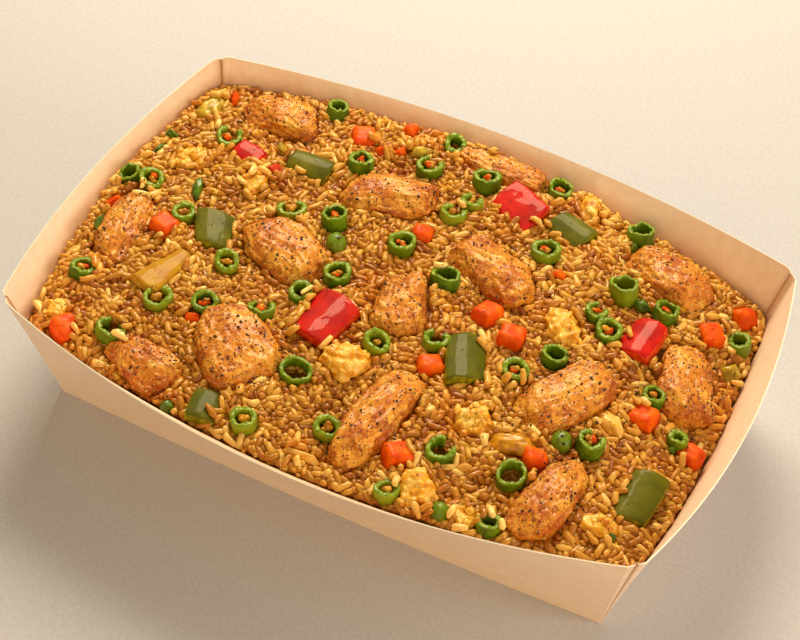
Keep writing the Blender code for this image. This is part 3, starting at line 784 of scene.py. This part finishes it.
def make_toppings(materials):
    chicken = [make_chicken(node, materials["chicken"], seed)
               for seed, node in enumerate(nodes_named("chicken_"), 1)]
    for seed, node in enumerate(nodes_named("egg_"), 31):
        make_egg(node, materials["egg"], seed)
    for colour in ("red", "green", "yellow"):
        slot = f"{colour}_pepper"
        for seed, node in enumerate(nodes_named(slot), 51):
            make_block(node, materials[slot], slot, 0.62 * MM, 5, 0.12 * MM, seed)
    for seed, node in enumerate(nodes_named("carrot_"), 71):
        make_block(node, materials["carrot"], "carrot", 0.66 * MM, 3, 0.3 * MM, seed)
    return chicken


# Rings of green onion and peas.


def ring_matrix(ring):
    x, y, _, _, far_lean, right_lean = ring[:6]
    turn = Matrix.Rotation(RING_HEADING, 4, "Z")
    lean = Matrix.Rotation(math.radians(-far_lean), 4, "X")
    side = Matrix.Rotation(math.radians(right_lean), 4, "Y")
    return Matrix.Translation(on_heap(x, y)) @ turn @ lean @ side


def ring_mesh(ring, seed):
    """Points, faces and cut lip of one ring, uneven as a knife leaves it."""
    _, _, diameter, height, _, _, form, _ = ring
    share, arc, spring = RING_FORMS[form]
    rng = random.Random(seed)
    start = math.radians(rng.uniform(40, 140))
    ribs = rng.choice((9, 10, 11, 12))
    closed = arc == 360
    count = RING_STEPS if closed else RING_STEPS + 1
    points, lip = [], []
    for i in range(count):
        angle = start + math.radians(arc) * i / RING_STEPS
        around = Vector((math.cos(angle), math.sin(angle), seed))
        wobble = 1 + 0.07 * math.cos(2 * angle + seed) + 0.03 * math.cos(3 * angle + 2 * seed)
        wobble += spring * (i / RING_STEPS - 0.5) * 2
        tooth = noise.noise(around * 2.6)
        nick = noise.noise(around * 6.1)
        rib = 0.04 * math.cos(ribs * angle + seed) + 0.2 * nick
        for across, up in RING_SECTION:
            ripple = 0.8 * noise.noise(Vector((around.x * 3, around.y * 3, seed + up)))
            wall = RING_WALL * share * (1 - across)
            radius = (diameter * MM / 2 - wall) * wobble + mixed(ripple, rib, across) * MM
            z = up * height * MM / 2 * (1 + 0.14 * tooth)
            z += (0.5 * tooth + 0.25 * nick) * MM * (up > 0.7)
            points.append((radius * math.cos(angle), radius * math.sin(angle), z))
            lip.append(0.9 if up > 0.95 else 0.3 if across < 0.2 else 0.0)
    section = np.arange(len(RING_SECTION))
    rows = [section + i * len(section) for i in range(count)]
    faces = [strip(rows[i], rows[(i + 1) % count]) for i in range(RING_STEPS)]
    for row in [] if closed else [rows[0], rows[-1]]:
        at_start = row is rows[0]
        rim = np.array(points)[row]
        for scale in (0.6, 0.02):
            inner = section + len(points)
            points.extend(mixed(rim.mean(0), rim, scale))
            lip.extend([0.6] * len(section))
            faces.append(strip(inner, row) if at_start else strip(row, inner))
            row = inner
    return np.array(points), np.concatenate(faces), np.array(lip)


def moved(points, matrix):
    spin = np.array(matrix.to_3x3())
    return points @ spin.T + np.array(matrix.translation)


def joined(parts):
    """Several parts in one: their points, their faces and any values of their points."""
    points, faces, *values = zip(*parts)
    starts = np.cumsum([0, *map(len, points[:-1])])
    faces = [face + start for face, start in zip(faces, starts)]
    return [np.concatenate(arrays) for arrays in (points, faces, *values)]


def ball(subdivisions):
    """Points and triangles of a ball of radius 1."""
    bm = bmesh.new()
    bmesh.ops.create_icosphere(bm, subdivisions=subdivisions, radius=1)
    points = np.array([vert.co for vert in bm.verts])
    faces = np.array([[vert.index for vert in face.verts] for face in bm.faces])
    bm.free()
    return points, faces


def crumb(ball_mesh, size, seed, rough=0.5):
    """A torn crumb: a ball pushed about by noise."""
    points, faces = ball_mesh
    push = 1 + rough * turbulence(points, 0.9, seed, 3)
    return points * push[:, None] * np.array(size) / 2, faces


def make_rings(materials, crumbs):
    """Rings that are nodes, each its own piece, and the fused ones, joined in one."""
    fused = []
    shape = ball(2)
    own = len(RINGS)
    for i, ring in enumerate(RINGS + FUSED_RINGS, 1):
        _, _, diameter, height, _, _, form, fill = ring
        seed = i if i <= own else i - own + 50
        points, faces, lip = ring_mesh(ring, seed)
        matrix = ring_matrix(ring)
        points = moved(points, matrix)
        rng = random.Random(seed)
        tint = np.full(len(points), 0.6 if fill == "pale" else 0.45 * rng.random() ** 2)
        if i <= own:
            piece = mesh_piece(f"green_onion_{i:02d}_look", points, faces,
                               materials["green_onion"], cut=lip, tint=tint)
            hang(piece, "green_onion", f"green_onion_{i:02d}")
        else:
            fused.append((points, faces, lip, tint))
        hollow = diameter / 2 - RING_WALL / MM * RING_FORMS[form][0]
        for number in range(5 if fill else 0):
            kind = "carrot" if fill == "orange" and number < 2 else "brown"
            size = rng.uniform(0.8, 1.3) * min(hollow, 2.4)
            angle, away = rng.uniform(0, math.tau), rng.uniform(0, 0.5) * hollow
            spot = (away * math.cos(angle), away * math.sin(angle),
                    height / 2 - rng.uniform(0.8, 1.9))
            bit, triangles = crumb(shape, (size, size * 0.8, size * 0.8), rng.random() * 90)
            crumbs[kind].append((moved((bit + spot) * MM, matrix), triangles))
    points, faces, lip, tint = joined(fused)
    piece = mesh_piece("green_onion_in_rice", points, faces, materials["green_onion"],
                       cut=lip, tint=tint)
    hang(piece, "green_onion", "rice")


def bit_centre(bit):
    _, x, y, _, _, height, proud, _ = bit
    return on_heap(x, y) + (0, 0, (proud - height / 2) * MM)


def add_bits(crumbs):
    """The crumbs and slivers that lie in the rice; those of egg have lumps of their own."""
    fine, middling, small = ball(4), ball(3), ball(2)
    for seed, bit in enumerate(BITS, 1):
        kind, _, _, length, width, height, _, yaw = bit
        rng = random.Random(seed + 400)
        crumbly = kind == "egg"
        shape = fine if max(length, width) > 7 else middling
        points, faces = crumb(shape, (length, width, height), seed, 0.42 if crumbly else 0.3)
        if not crumbly:
            points = flattened(points, seed, 5, 0.9)
        place = (Matrix.Translation(bit_centre(bit))
                 @ Matrix.Rotation(math.radians(yaw), 4, "Z"))
        crumbs[kind].append((moved(points * MM, place), faces))
        for _ in range(int(length * width / 7) if crumbly else 0):
            angle, reach = rng.uniform(0, math.tau), math.sqrt(rng.random()) * 0.55
            size = rng.uniform(1.6, 3.4)
            spot = (math.cos(angle) * reach * length, math.sin(angle) * reach * width,
                    height * 0.42 * (1 - 2 * reach**2) + rng.uniform(-0.8, 0.5))
            sizes = (size, size * rng.uniform(0.6, 1), size * 0.8)
            lump, triangles = crumb(small, sizes, rng.random() * 90)
            crumbs[kind].append((moved((lump + spot) * MM, place), triangles))


def make_crumbs(materials, crumbs):
    for kind, parts in crumbs.items():
        piece = mesh_piece(f"{kind}_crumbs", *joined(parts), materials[kind])
        hang(piece, CRUMB_SLOTS[kind], "rice")


def make_peas(materials):
    shape = ball(4)
    turn = Matrix.Rotation(math.radians(24), 4, "Z")
    for i, (x, y, diameter) in enumerate(PEAS + FUSED_PEAS, 1):
        points, faces = crumb(shape, (1, 1.12, 0.94), i + 300, 0.05)
        points = moved(points * diameter * MM, Matrix.Translation(on_heap(x, y)) @ turn)
        piece = mesh_piece(f"pea_{i}_look", points, faces, materials["green_onion"],
                           cut=np.zeros(len(points)), tint=np.full(len(points), 0.2))
        hang(piece, "green_onion", f"pea_{i}" if i <= len(PEAS) else "rice")


# The rice.


def core_height(x, y):
    """Height of the rice's core, under the loose grains, with its broad hollows and mounds."""
    wave = (np.sin(x / (9.1 * MM) + 1.3) * np.sin(y / (7.7 * MM) + 0.4)
            + 0.7 * np.sin(x / (5.3 * MM) - y / (6.1 * MM) + 2.0))
    u, v, height = tray_place(x, y)
    brim = smooth_step(0.84, 0.97, np.maximum(abs(u), abs(v)))
    return height - GRAIN_DEPTH + (0.75 * wave * (1 - 0.6 * brim) + 1.0 * brim) * MM


def make_core(materials):
    """The core: a rough top under the grains, sides along the tray and a flat underside. It shows
    only in the gaps between the grains, and its dark brown is partly sauce and partly painted
    shade there.
    """
    columns, rows = CORE_GRID
    u, v = np.meshgrid(np.linspace(-1, 1, columns), np.linspace(-1, 1, rows))
    z = heap_height(u, v) - GRAIN_DEPTH
    length, width = tray_spans(u, v, z / rim_height(u, v))
    rounding = 1 - 0.035 * abs(u * v) ** 8
    x = u * (length - CORE_ROOM) * rounding
    y = v * (width - CORE_ROOM) * rounding
    inside = (1 - u**12) * (1 - v**12)
    rough = turbulence(np.stack([x, y, z], axis=-1).reshape(-1, 3), 2.4 * MM, 5, 2)
    z = mixed(z, core_height(x, y) + 1.1 * MM * rough.reshape(z.shape), inside)
    points = [np.stack([x, y, z], axis=-1).reshape(-1, 3)]
    grid = np.arange(columns * rows).reshape(rows, columns)
    ring = np.concatenate([grid[0], grid[1:, -1], grid[-1, -2::-1], grid[-2:0:-1, 0]])
    rim_u, rim_v, rim_z = (values.ravel()[ring] for values in (u, v, z))
    floor = BOARD + 0.35 * MM
    for level in (0.5, 0.0):
        z_low = mixed(floor, rim_z, level)
        length, width = tray_spans(rim_u, rim_v, z_low / rim_height(rim_u, rim_v))
        points.append(np.stack([rim_u * (length - CORE_ROOM) * 0.995,
                                rim_v * (width - CORE_ROOM) * 0.995, z_low], axis=1))
    middle = grid.size + np.arange(len(ring))
    foot = middle + len(ring)
    last = np.full(len(ring), foot[-1] + 1)
    top = np.stack([grid[:-1, :-1], grid[:-1, 1:], grid[1:, 1:], grid[1:, :-1]], axis=-1)
    quads = np.concatenate([top.reshape(-1, 4), strip(ring, middle), strip(middle, foot)])
    under = np.stack([np.roll(foot, -1), foot, last], axis=1)
    mesh = bpy.data.meshes.new("rice_core_sauce_and_shade")
    mesh.from_pydata(np.concatenate([*points, [[0, 0, floor]]]), [],
                     quads.tolist() + under.tolist())
    mesh.shade_smooth()
    mesh.materials.append(materials["core"])
    hang(new_object("rice_core_sauce_and_shade", mesh), "rice", "rice")


class Solids:
    """How far places are from the toppings, kept on a grid for many grains to read at once."""

    def __init__(self, nodes):
        self.low = np.array(FIELD_LOW)
        self.size = np.ceil((FIELD_HIGH - self.low) / FIELD_STEP).astype(int) + 1
        self.axes = [self.low[i] + np.arange(self.size[i]) * FIELD_STEP for i in range(3)]
        self.grid = np.full(self.size, FIELD_REACH)
        for node in nodes:
            self.add_node(node)
        for ring in RINGS + FUSED_RINGS:
            self.add_ring(ring)
        for bit in BITS:
            self.add_bit(bit)
        for x, y, diameter in PEAS + FUSED_PEAS:
            radius = diameter * MM / 2
            self.add(on_heap(x, y), radius * 2,
                     lambda places, radius=radius: np.linalg.norm(places, axis=-1) - radius)
        self.slope = np.stack(np.gradient(self.grid, FIELD_STEP), axis=-1)

    def add(self, centre, reach, distance):
        """Lower the grid's distances near one shape; its own distance is about its centre."""
        first = (centre - reach - FIELD_REACH - self.low) / FIELD_STEP
        last = (centre + reach + FIELD_REACH - self.low) / FIELD_STEP
        near = tuple(slice(max(0, int(start)), int(end) + 2) for start, end in zip(first, last))
        places = np.meshgrid(*(self.axes[i][near[i]] for i in range(3)), indexing="ij")
        found = distance(np.stack(places, axis=-1) - centre)
        self.grid[near] = np.minimum(self.grid[near], found)

    def add_bit(self, bit):
        radii = np.array(bit[3:6]) * MM / 2
        spin = np.array(Matrix.Rotation(math.radians(bit[7]), 3, "Z"))
        self.add(bit_centre(bit), radii.max(), lambda places: (
            np.linalg.norm(places @ spin / radii, axis=-1) - 1) * radii.min())

    def add_ring(self, ring):
        matrix = ring_matrix(ring)
        spin = np.array(matrix.to_3x3())
        radius, half = ring[2] * MM / 2, ring[3] * MM / 2

        def distance(places):
            local = places @ spin
            side = np.linalg.norm(local[..., :2], axis=-1) - radius
            end = np.abs(local[..., 2]) - half
            outside = np.hypot(np.maximum(side, 0), np.maximum(end, 0))
            return outside + np.minimum(np.maximum(side, end), 0)

        self.add(np.array(matrix.translation), radius + half, distance)

    def add_node(self, node):
        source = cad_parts[node].data
        tree = BVHTree.FromPolygons([v.co for v in source.vertices],
                                    [tuple(p.vertices) for p in source.polygons])
        low, high = node_box(node)
        centre = (low + high) / 2

        def distance(places):
            flat = (places + centre).reshape(-1, 3)
            out = np.full(len(flat), FIELD_REACH)
            near = ((flat > low - FIELD_REACH) & (flat < high + FIELD_REACH)).all(1)
            for index in np.flatnonzero(near):
                hit, normal, _, gap = tree.find_nearest(flat[index])
                out[index] = gap if (Vector(flat[index]) - hit).dot(normal) > 0 else -gap
            return out.reshape(places.shape[:-1])

        self.add(centre, (high - low).max() / 2, distance)

    def read(self, places):
        """Distance and outward direction at places, each the mean of the cells about it."""
        spot = np.clip((places - self.low) / FIELD_STEP, 0, self.size - 1.001)
        base = spot.astype(int)
        part = spot - base
        distance, slope = 0, 0
        for corner in np.ndindex(2, 2, 2):
            weight = np.prod(np.where(corner, part, 1 - part), axis=1)
            index = tuple((base + corner).T)
            distance = distance + weight * self.grid[index]
            slope = slope + weight[:, None] * self.slope[index]
        size = np.maximum(np.linalg.norm(slope, axis=1, keepdims=True), 1e-9)
        return distance, slope / size


def close_pairs(points, owner, reach):
    """Pairs of grain spheres of different grains that lie within reach of each other."""
    cell = np.floor(points / reach).astype(np.int64)
    cell -= cell.min(0) - 1
    size = cell.max(0) + 2
    key = (cell[:, 0] * size[1] + cell[:, 1]) * size[2] + cell[:, 2]
    order = np.argsort(key, kind="stable")
    ordered = key[order]
    everyone = np.arange(len(points))
    first, second = [], []
    for step in np.ndindex(3, 3, 3):
        offset = np.array(step) - 1
        if tuple(offset) < (0, 0, 0):
            continue
        other = key + (offset[0] * size[1] + offset[1]) * size[2] + offset[2]
        low = np.searchsorted(ordered, other, "left")
        count = np.searchsorted(ordered, other, "right") - low
        a = np.repeat(everyone, count)
        run = np.arange(count.sum()) - np.repeat(np.cumsum(count) - count, count)
        b = order[np.repeat(low, count) + run]
        keep = (owner[a] != owner[b]) & ((a < b) | bool(offset.any()))
        first.append(a[keep])
        second.append(b[keep])
    a, b = np.concatenate(first), np.concatenate(second)
    near = np.linalg.norm(points[a] - points[b], axis=1) < reach
    return a[near], b[near]


def sum_at(index, values, count):
    return np.stack([np.bincount(index, values[:, i], count) for i in range(3)], axis=1)


def keep_in_tray(points, radius):
    """How far to move spheres so that they stay off the tray's walls and its cut corners."""
    x, y, z = points.T
    u = v = 0 * x
    for _ in range(3):
        length, width = tray_spans(u, v, np.clip(z / rim_height(u, v), 0, 1))
        u = np.clip(x / length, -1, 1)
        v = np.clip(y / width, -1, 1)
    room = BOARD_EDGE + 0.3 * MM + radius
    free_x = length - abs(x)
    free_y = width - abs(y)
    corner = np.maximum(GUSSET_AT_RIM + 1.4 * room - free_x - free_y, 0) / 2
    over_x = np.maximum(room - free_x, corner)
    over_y = np.maximum(room - free_y, corner)
    return np.stack([-np.sign(x) * over_x, -np.sign(y) * over_y, 0 * x], axis=1)


def clear_of_board(points):
    """Grains moved in by as much as the furthest point of each lies in the board."""
    flat = points.reshape(-1, 3)
    held = keep_in_tray(flat, 0 * flat[:, 0]).reshape(points.shape)
    return points + (held.max(1) + held.min(1))[:, None]


def settle(centre, axis, reach, radius, solids, steps):
    """Let the grains sink on the core and push each other and the toppings apart."""
    count = len(centre)
    owner = np.repeat(np.arange(count), len(SPHERES))
    thick = radius[owner] * GRAIN_CRUSH
    spread = (SPHERES**2).sum()
    pairs = None
    for step in range(steps):
        arms = axis[:, None] * (reach[:, None] * SPHERES)[..., None]
        points = (centre[:, None] + arms).reshape(-1, 3)
        if step % 6 == 0:
            pairs = close_pairs(points, owner, GRAIN_WIDTHS[1] + 0.8 * MM)
        a, b = pairs
        gap = points[a] - points[b]
        length = np.maximum(np.linalg.norm(gap, axis=1), 1e-9)
        overlap = np.maximum(thick[a] + thick[b] - length, 0)
        shove = gap / length[:, None] * (overlap / 2)[:, None]
        touching = (overlap > 0).astype(float)
        total = len(points)
        push = sum_at(a, shove, total) - sum_at(b, shove, total)
        hits = np.bincount(a, touching, total) + np.bincount(b, touching, total)
        distance, outward = solids.read(points)
        inside = np.maximum(thick - distance, 0)
        push += outward * inside[:, None]
        hits += inside > 0
        sunk = np.maximum(core_height(points[:, 0], points[:, 1]) + thick - points[:, 2], 0)
        push[:, 2] += sunk
        hits += sunk > 0
        held = keep_in_tray(points, thick)
        push += held
        hits += (abs(held) > 0).any(1)
        shift = 1.3 * push / np.maximum(hits, 1)[:, None]
        fall = GRAVITY_STEP * (1 if step < steps * 0.7 else 0.35)
        shift[:, 2] -= fall
        shift = shift.reshape(count, len(SPHERES), 3)
        centre = centre + shift.mean(1)
        turn = (shift * SPHERES[None, :, None]).sum(1) / spread
        axis = axis + turn / reach[:, None]
        axis /= np.linalg.norm(axis, axis=1, keepdims=True)
    return centre, axis


def drop_grains(rng, solids):
    """Grains in loose layers over the core, clear of the toppings."""
    places = []
    for layer in range(GRAIN_LAYERS):
        x, y = np.meshgrid(*(np.arange(-span, span, GRAIN_SPACING) for span in GRAIN_SPANS))
        x, y = ((flat + rng.uniform(-0.5, 0.5, flat.shape) * GRAIN_SPACING).ravel()
                for flat in (x, y))
        z = core_height(x, y) + 1.0 * MM + layer * LAYER_STEP
        places.append(np.stack([x, y, z, 0 * z + layer], axis=1))
    places = np.concatenate(places)
    points, layer = places[:, :3], places[:, 3]
    in_tray = (abs(keep_in_tray(points, 1.0 * MM)) < 1e-9).all(1)
    free = solids.read(points)[0] > 0.7 * MM
    mound = np.sin(points[:, 0] / (11 * MM)) * np.sin(points[:, 1] / (9 * MM) + 1)
    wanted = (layer < GRAIN_LAYERS - 1) | (mound + rng.uniform(-0.6, 0.6, len(layer)) > 0.1)
    points = points[in_tray & free & wanted]
    count = len(points)
    yaw = rng.uniform(0, 2 * math.pi, count)
    pitch = rng.normal(0, 0.5, count)
    axis = np.stack([np.cos(yaw) * np.cos(pitch), np.sin(yaw) * np.cos(pitch),
                     np.sin(pitch)], axis=1)
    long = rng.uniform(*GRAIN_LENGTHS, count)
    wide = rng.uniform(*GRAIN_WIDTHS, count)
    return points, axis, long / 2 - wide / 2, wide / 2


def grain_shape(sides):
    """Points along and round one grain, blunt at both ends, and its triangles."""
    along, width = np.array(GRAIN_PROFILE).T
    turn = np.arange(sides) * 2 * math.pi / sides
    s = np.concatenate([[-1], np.repeat(along, sides), [1]])
    y, z = (np.concatenate([[0], (width[:, None] * wave(turn)).ravel(), [0]])
            for wave in (np.cos, np.sin))
    rows = 1 + np.arange(len(along) * sides).reshape(-1, sides)
    quads = np.concatenate([strip(low, high) for low, high in zip(rows, rows[1:])])
    start, end = 0 * rows[0], 0 * rows[0] + len(s) - 1
    faces = [quads[:, [0, 3, 2]], quads[:, [0, 2, 1]],
             np.stack([start, np.roll(rows[0], -1), rows[0]], axis=1),
             np.stack([rows[-1], np.roll(rows[-1], -1), end], axis=1)]
    return s, y, z, np.concatenate(faces)


def grain_points(centre, axis, reach, radius, rng):
    """The points of every grain, bent and flattened a little, each in its own way."""
    s, y, z, faces = grain_shape(6)
    count = len(centre)
    aside = np.cross(axis, rng.normal(size=(count, 3)))
    aside /= np.linalg.norm(aside, axis=1, keepdims=True)
    other = np.cross(axis, aside)
    bend = rng.uniform(0, 1, (count, 1)) ** 1.4 * GRAIN_BEND
    flat = rng.uniform(0.84, 1.0, (count, 1))
    lean = rng.uniform(-0.12, 0.12, (count, 1))
    knob = rng.uniform(-0.18, 0.18, (count, 1))
    phase = rng.uniform(0, 2 * math.pi, (count, 1))
    swell = 1 + lean * s + knob * np.cos(4 * s + phase)
    swell = swell * (1 + rng.normal(0, 0.13, swell.shape))
    along = (reach + radius)[:, None] * s
    wide = radius[:, None] * y * swell + bend * (0.4 - s**2)
    tall = radius[:, None] * flat * z * swell
    points = centre[:, None] + sum(direction[:, None] * amount[..., None] for direction, amount
                                   in ((axis, along), (aside, wide), (other, tall)))
    return clear_of_board(points), faces


def make_rice(materials, solids, crumbs):
    rng = np.random.default_rng(21)
    grains = drop_grains(rng, solids)
    steps = SETTLING_STEPS
    centre, axis = settle(*grains, solids, steps)
    under = solids.read(centre - np.array((0, 0, 2.6 * MM)))[0]
    stray = (under < -0.5 * MM) & (rng.uniform(size=len(centre)) > STRAYS_KEPT)
    keep = ~stray & (solids.read(centre)[0] > 0.2 * MM)
    centre, axis, reach, radius = (values[keep] for values in (centre, axis, *grains[2:]))
    points, faces = grain_points(centre, axis, reach, radius, rng)
    height = centre[:, 2] - tray_place(centre[:, 0], centre[:, 1])[2]
    # A grain's tone is random, and lighter the higher it lies over the heap's surface: painted
    # light on the top grains, painted shade on the deep ones.
    tint = np.clip(rng.normal(0.5, 0.22, len(centre)) + 0.09 * height / MM, 0, 1)
    size = points.shape[1]
    per_piece = MOST_TRIANGLES // len(faces)
    for part, start in enumerate(range(0, len(centre), per_piece), 1):
        some = points[start:start + per_piece]
        firsts = np.arange(len(some)) * size
        piece = mesh_piece(f"rice_grains_{part}", some.reshape(-1, 3),
                           (faces + firsts[:, None, None]).reshape(-1, 3), materials["rice"],
                           tint=np.repeat(tint[start:start + per_piece], size))
        hang(piece, "rice", "rice")
    high = np.flatnonzero(height > np.median(height))
    shape = ball(2)
    for number, i in enumerate(rng.choice(high, SCATTERED_CRUMBS, replace=False)):
        size = rng.uniform(1.4, 3.2) * MM
        lump, triangles = crumb(shape, (size, size * rng.uniform(0.5, 1), size * 0.7), number, 0.8)
        spot = centre[i] + axis[i] * rng.uniform(-1, 1) * reach[i] + (0, 0, 0.3 * radius[i])
        crumbs["egg"].append((lump + spot, triangles))


# Specks of black pepper on everything.


def make_specks(materials, chicken):
    """Coarse black pepper, thick on the chicken and sparse on the rest of the food."""
    rng = random.Random(77)
    shape = ball(1)
    graph = bpy.context.evaluated_depsgraph_get()
    graph.update()
    parts = []

    def add_speck(x, y, size):
        hit, place, normal, _, piece, _ = bpy.context.scene.ray_cast(
            graph, Vector((x, y, SPECK_DROP)), (0, 0, -1))
        if not hit or normal.z < 0.1 or piece.name in ("tray_board", "floor"):
            return
        stretch = rng.uniform(1.0, 1.5)
        points, faces = crumb(shape, (size * stretch, size, size * 0.6), rng.random() * 90)
        spin = normal.to_track_quat("Z", "Y").to_matrix().to_4x4()
        turn = Matrix.Rotation(rng.uniform(0, math.tau), 4, "Z")
        where = Matrix.Translation(place + normal * size * 0.08) @ spin @ turn
        parts.append((moved(points, where), faces))

    for piece in chicken:
        points = vectors(piece.data)
        (left, near, _), (right, far, _) = points.min(0), points.max(0)
        for _ in range(int((right - left) * (far - near) / ROOM_FOR_SPECK)):
            x, y = rng.uniform(left, right), rng.uniform(near, far)
            size = rng.uniform(0.75, 1.1) if rng.random() < 0.14 else rng.uniform(0.32, 0.62)
            add_speck(x, y, size * MM)
    for _ in range(LOOSE_SPECKS):
        x, y = (rng.uniform(-span, span) for span in SPECK_SPANS)
        add_speck(x, y, rng.uniform(0.25, 0.6) * MM)
    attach(mesh_piece("black_pepper", *joined(parts), materials["speck"]), "root")


def make_materials():
    return {
        "board": board_look("paperboard_look", (250, 226, 208), (244, 217, 196)),
        "board_edge": board_look("paperboard_edge", (255, 250, 238), (250, 240, 222)),
        "rice": rice_look(),
        # Dark brown where it shows between the grains: partly sauce, partly painted shade.
        "core": plain_look("rice_core_sauce_and_shade", (0.5, 0.2), (420, 3),
                           ((0.3, 92, 48, 8), (0.7, 164, 100, 26)), ((420, 3), 0.6, 1.5)),
        "chicken": chicken_look(),
        "carrot": plain_look(
            "carrot", (0.58, 0.12, (0.08, 0.12), (0.15, 1.8 * MM, WARM)), (260, 3),
            ((0.3, 208, 60, 0), (0.5, 228, 84, 0), (0.72, 240, 114, 2)),
            ((800, 2), 0.3, 0.35), stretch=(1, 1, 0.35)),
        "egg": plain_look(
            "egg_look", (0.42, 0.3, (0.25, 0.25), (0.25, 1.6 * MM, (1.0, 0.6, 0.2))), (260, 3),
            ((0.32, 198, 116, 4), (0.48, 234, 170, 36), (0.64, 250, 208, 108)),
            ((700, 3, 0.6), 0.6, 0.5), ((380, 2), 0.8, 1.0)),
        "green_onion": onion_look(),
        "red_pepper": pepper_look("red_pepper", (210, 24, 0), (172, 8, 0), (214, 70, 8)),
        "green_pepper": pepper_look("green_pepper", (108, 104, 0), (80, 84, 0),
                                    (154, 144, 10), coat=0.1),
        "yellow_pepper": pepper_look("yellow_pepper", (190, 142, 0), (176, 118, 0),
                                     (210, 168, 60), coat=0.12),
        "red": crumb_look("red", (168, 20, 4), (214, 60, 14)),
        "green": crumb_look("green", (44, 78, 6), (96, 132, 18)),
        "olive": crumb_look("olive", (150, 116, 12), (206, 176, 50)),
        "brown": crumb_look("brown", (168, 104, 6), (220, 158, 30)),
        "pale": crumb_look("pale", (224, 162, 50), (248, 204, 112)),
        "speck": plain_look("black_pepper", (0.6,), (1500, 2),
                            ((0.4, 26, 14, 6), (0.65, 72, 40, 16))),
    }


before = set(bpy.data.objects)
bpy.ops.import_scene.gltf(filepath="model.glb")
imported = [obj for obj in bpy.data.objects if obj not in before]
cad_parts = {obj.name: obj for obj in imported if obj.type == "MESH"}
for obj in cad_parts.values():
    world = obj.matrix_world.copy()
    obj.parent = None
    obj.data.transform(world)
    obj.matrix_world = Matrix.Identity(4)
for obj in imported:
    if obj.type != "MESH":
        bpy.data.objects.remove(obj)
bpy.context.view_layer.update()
add_camera()
add_surroundings()
materials = make_materials()
crumbs = {kind: [] for kind in CRUMB_SLOTS}
make_tray(materials)
chicken = make_toppings(materials)
make_rings(materials, crumbs)
make_peas(materials)
make_core(materials)
add_bits(crumbs)
chunks = [node for start in ("chicken_", "red_", "green_pepper", "yellow_", "carrot_", "egg_")
          for node in nodes_named(start)]
make_rice(materials, Solids(chunks), crumbs)
make_crumbs(materials, crumbs)
make_specks(materials, chicken)
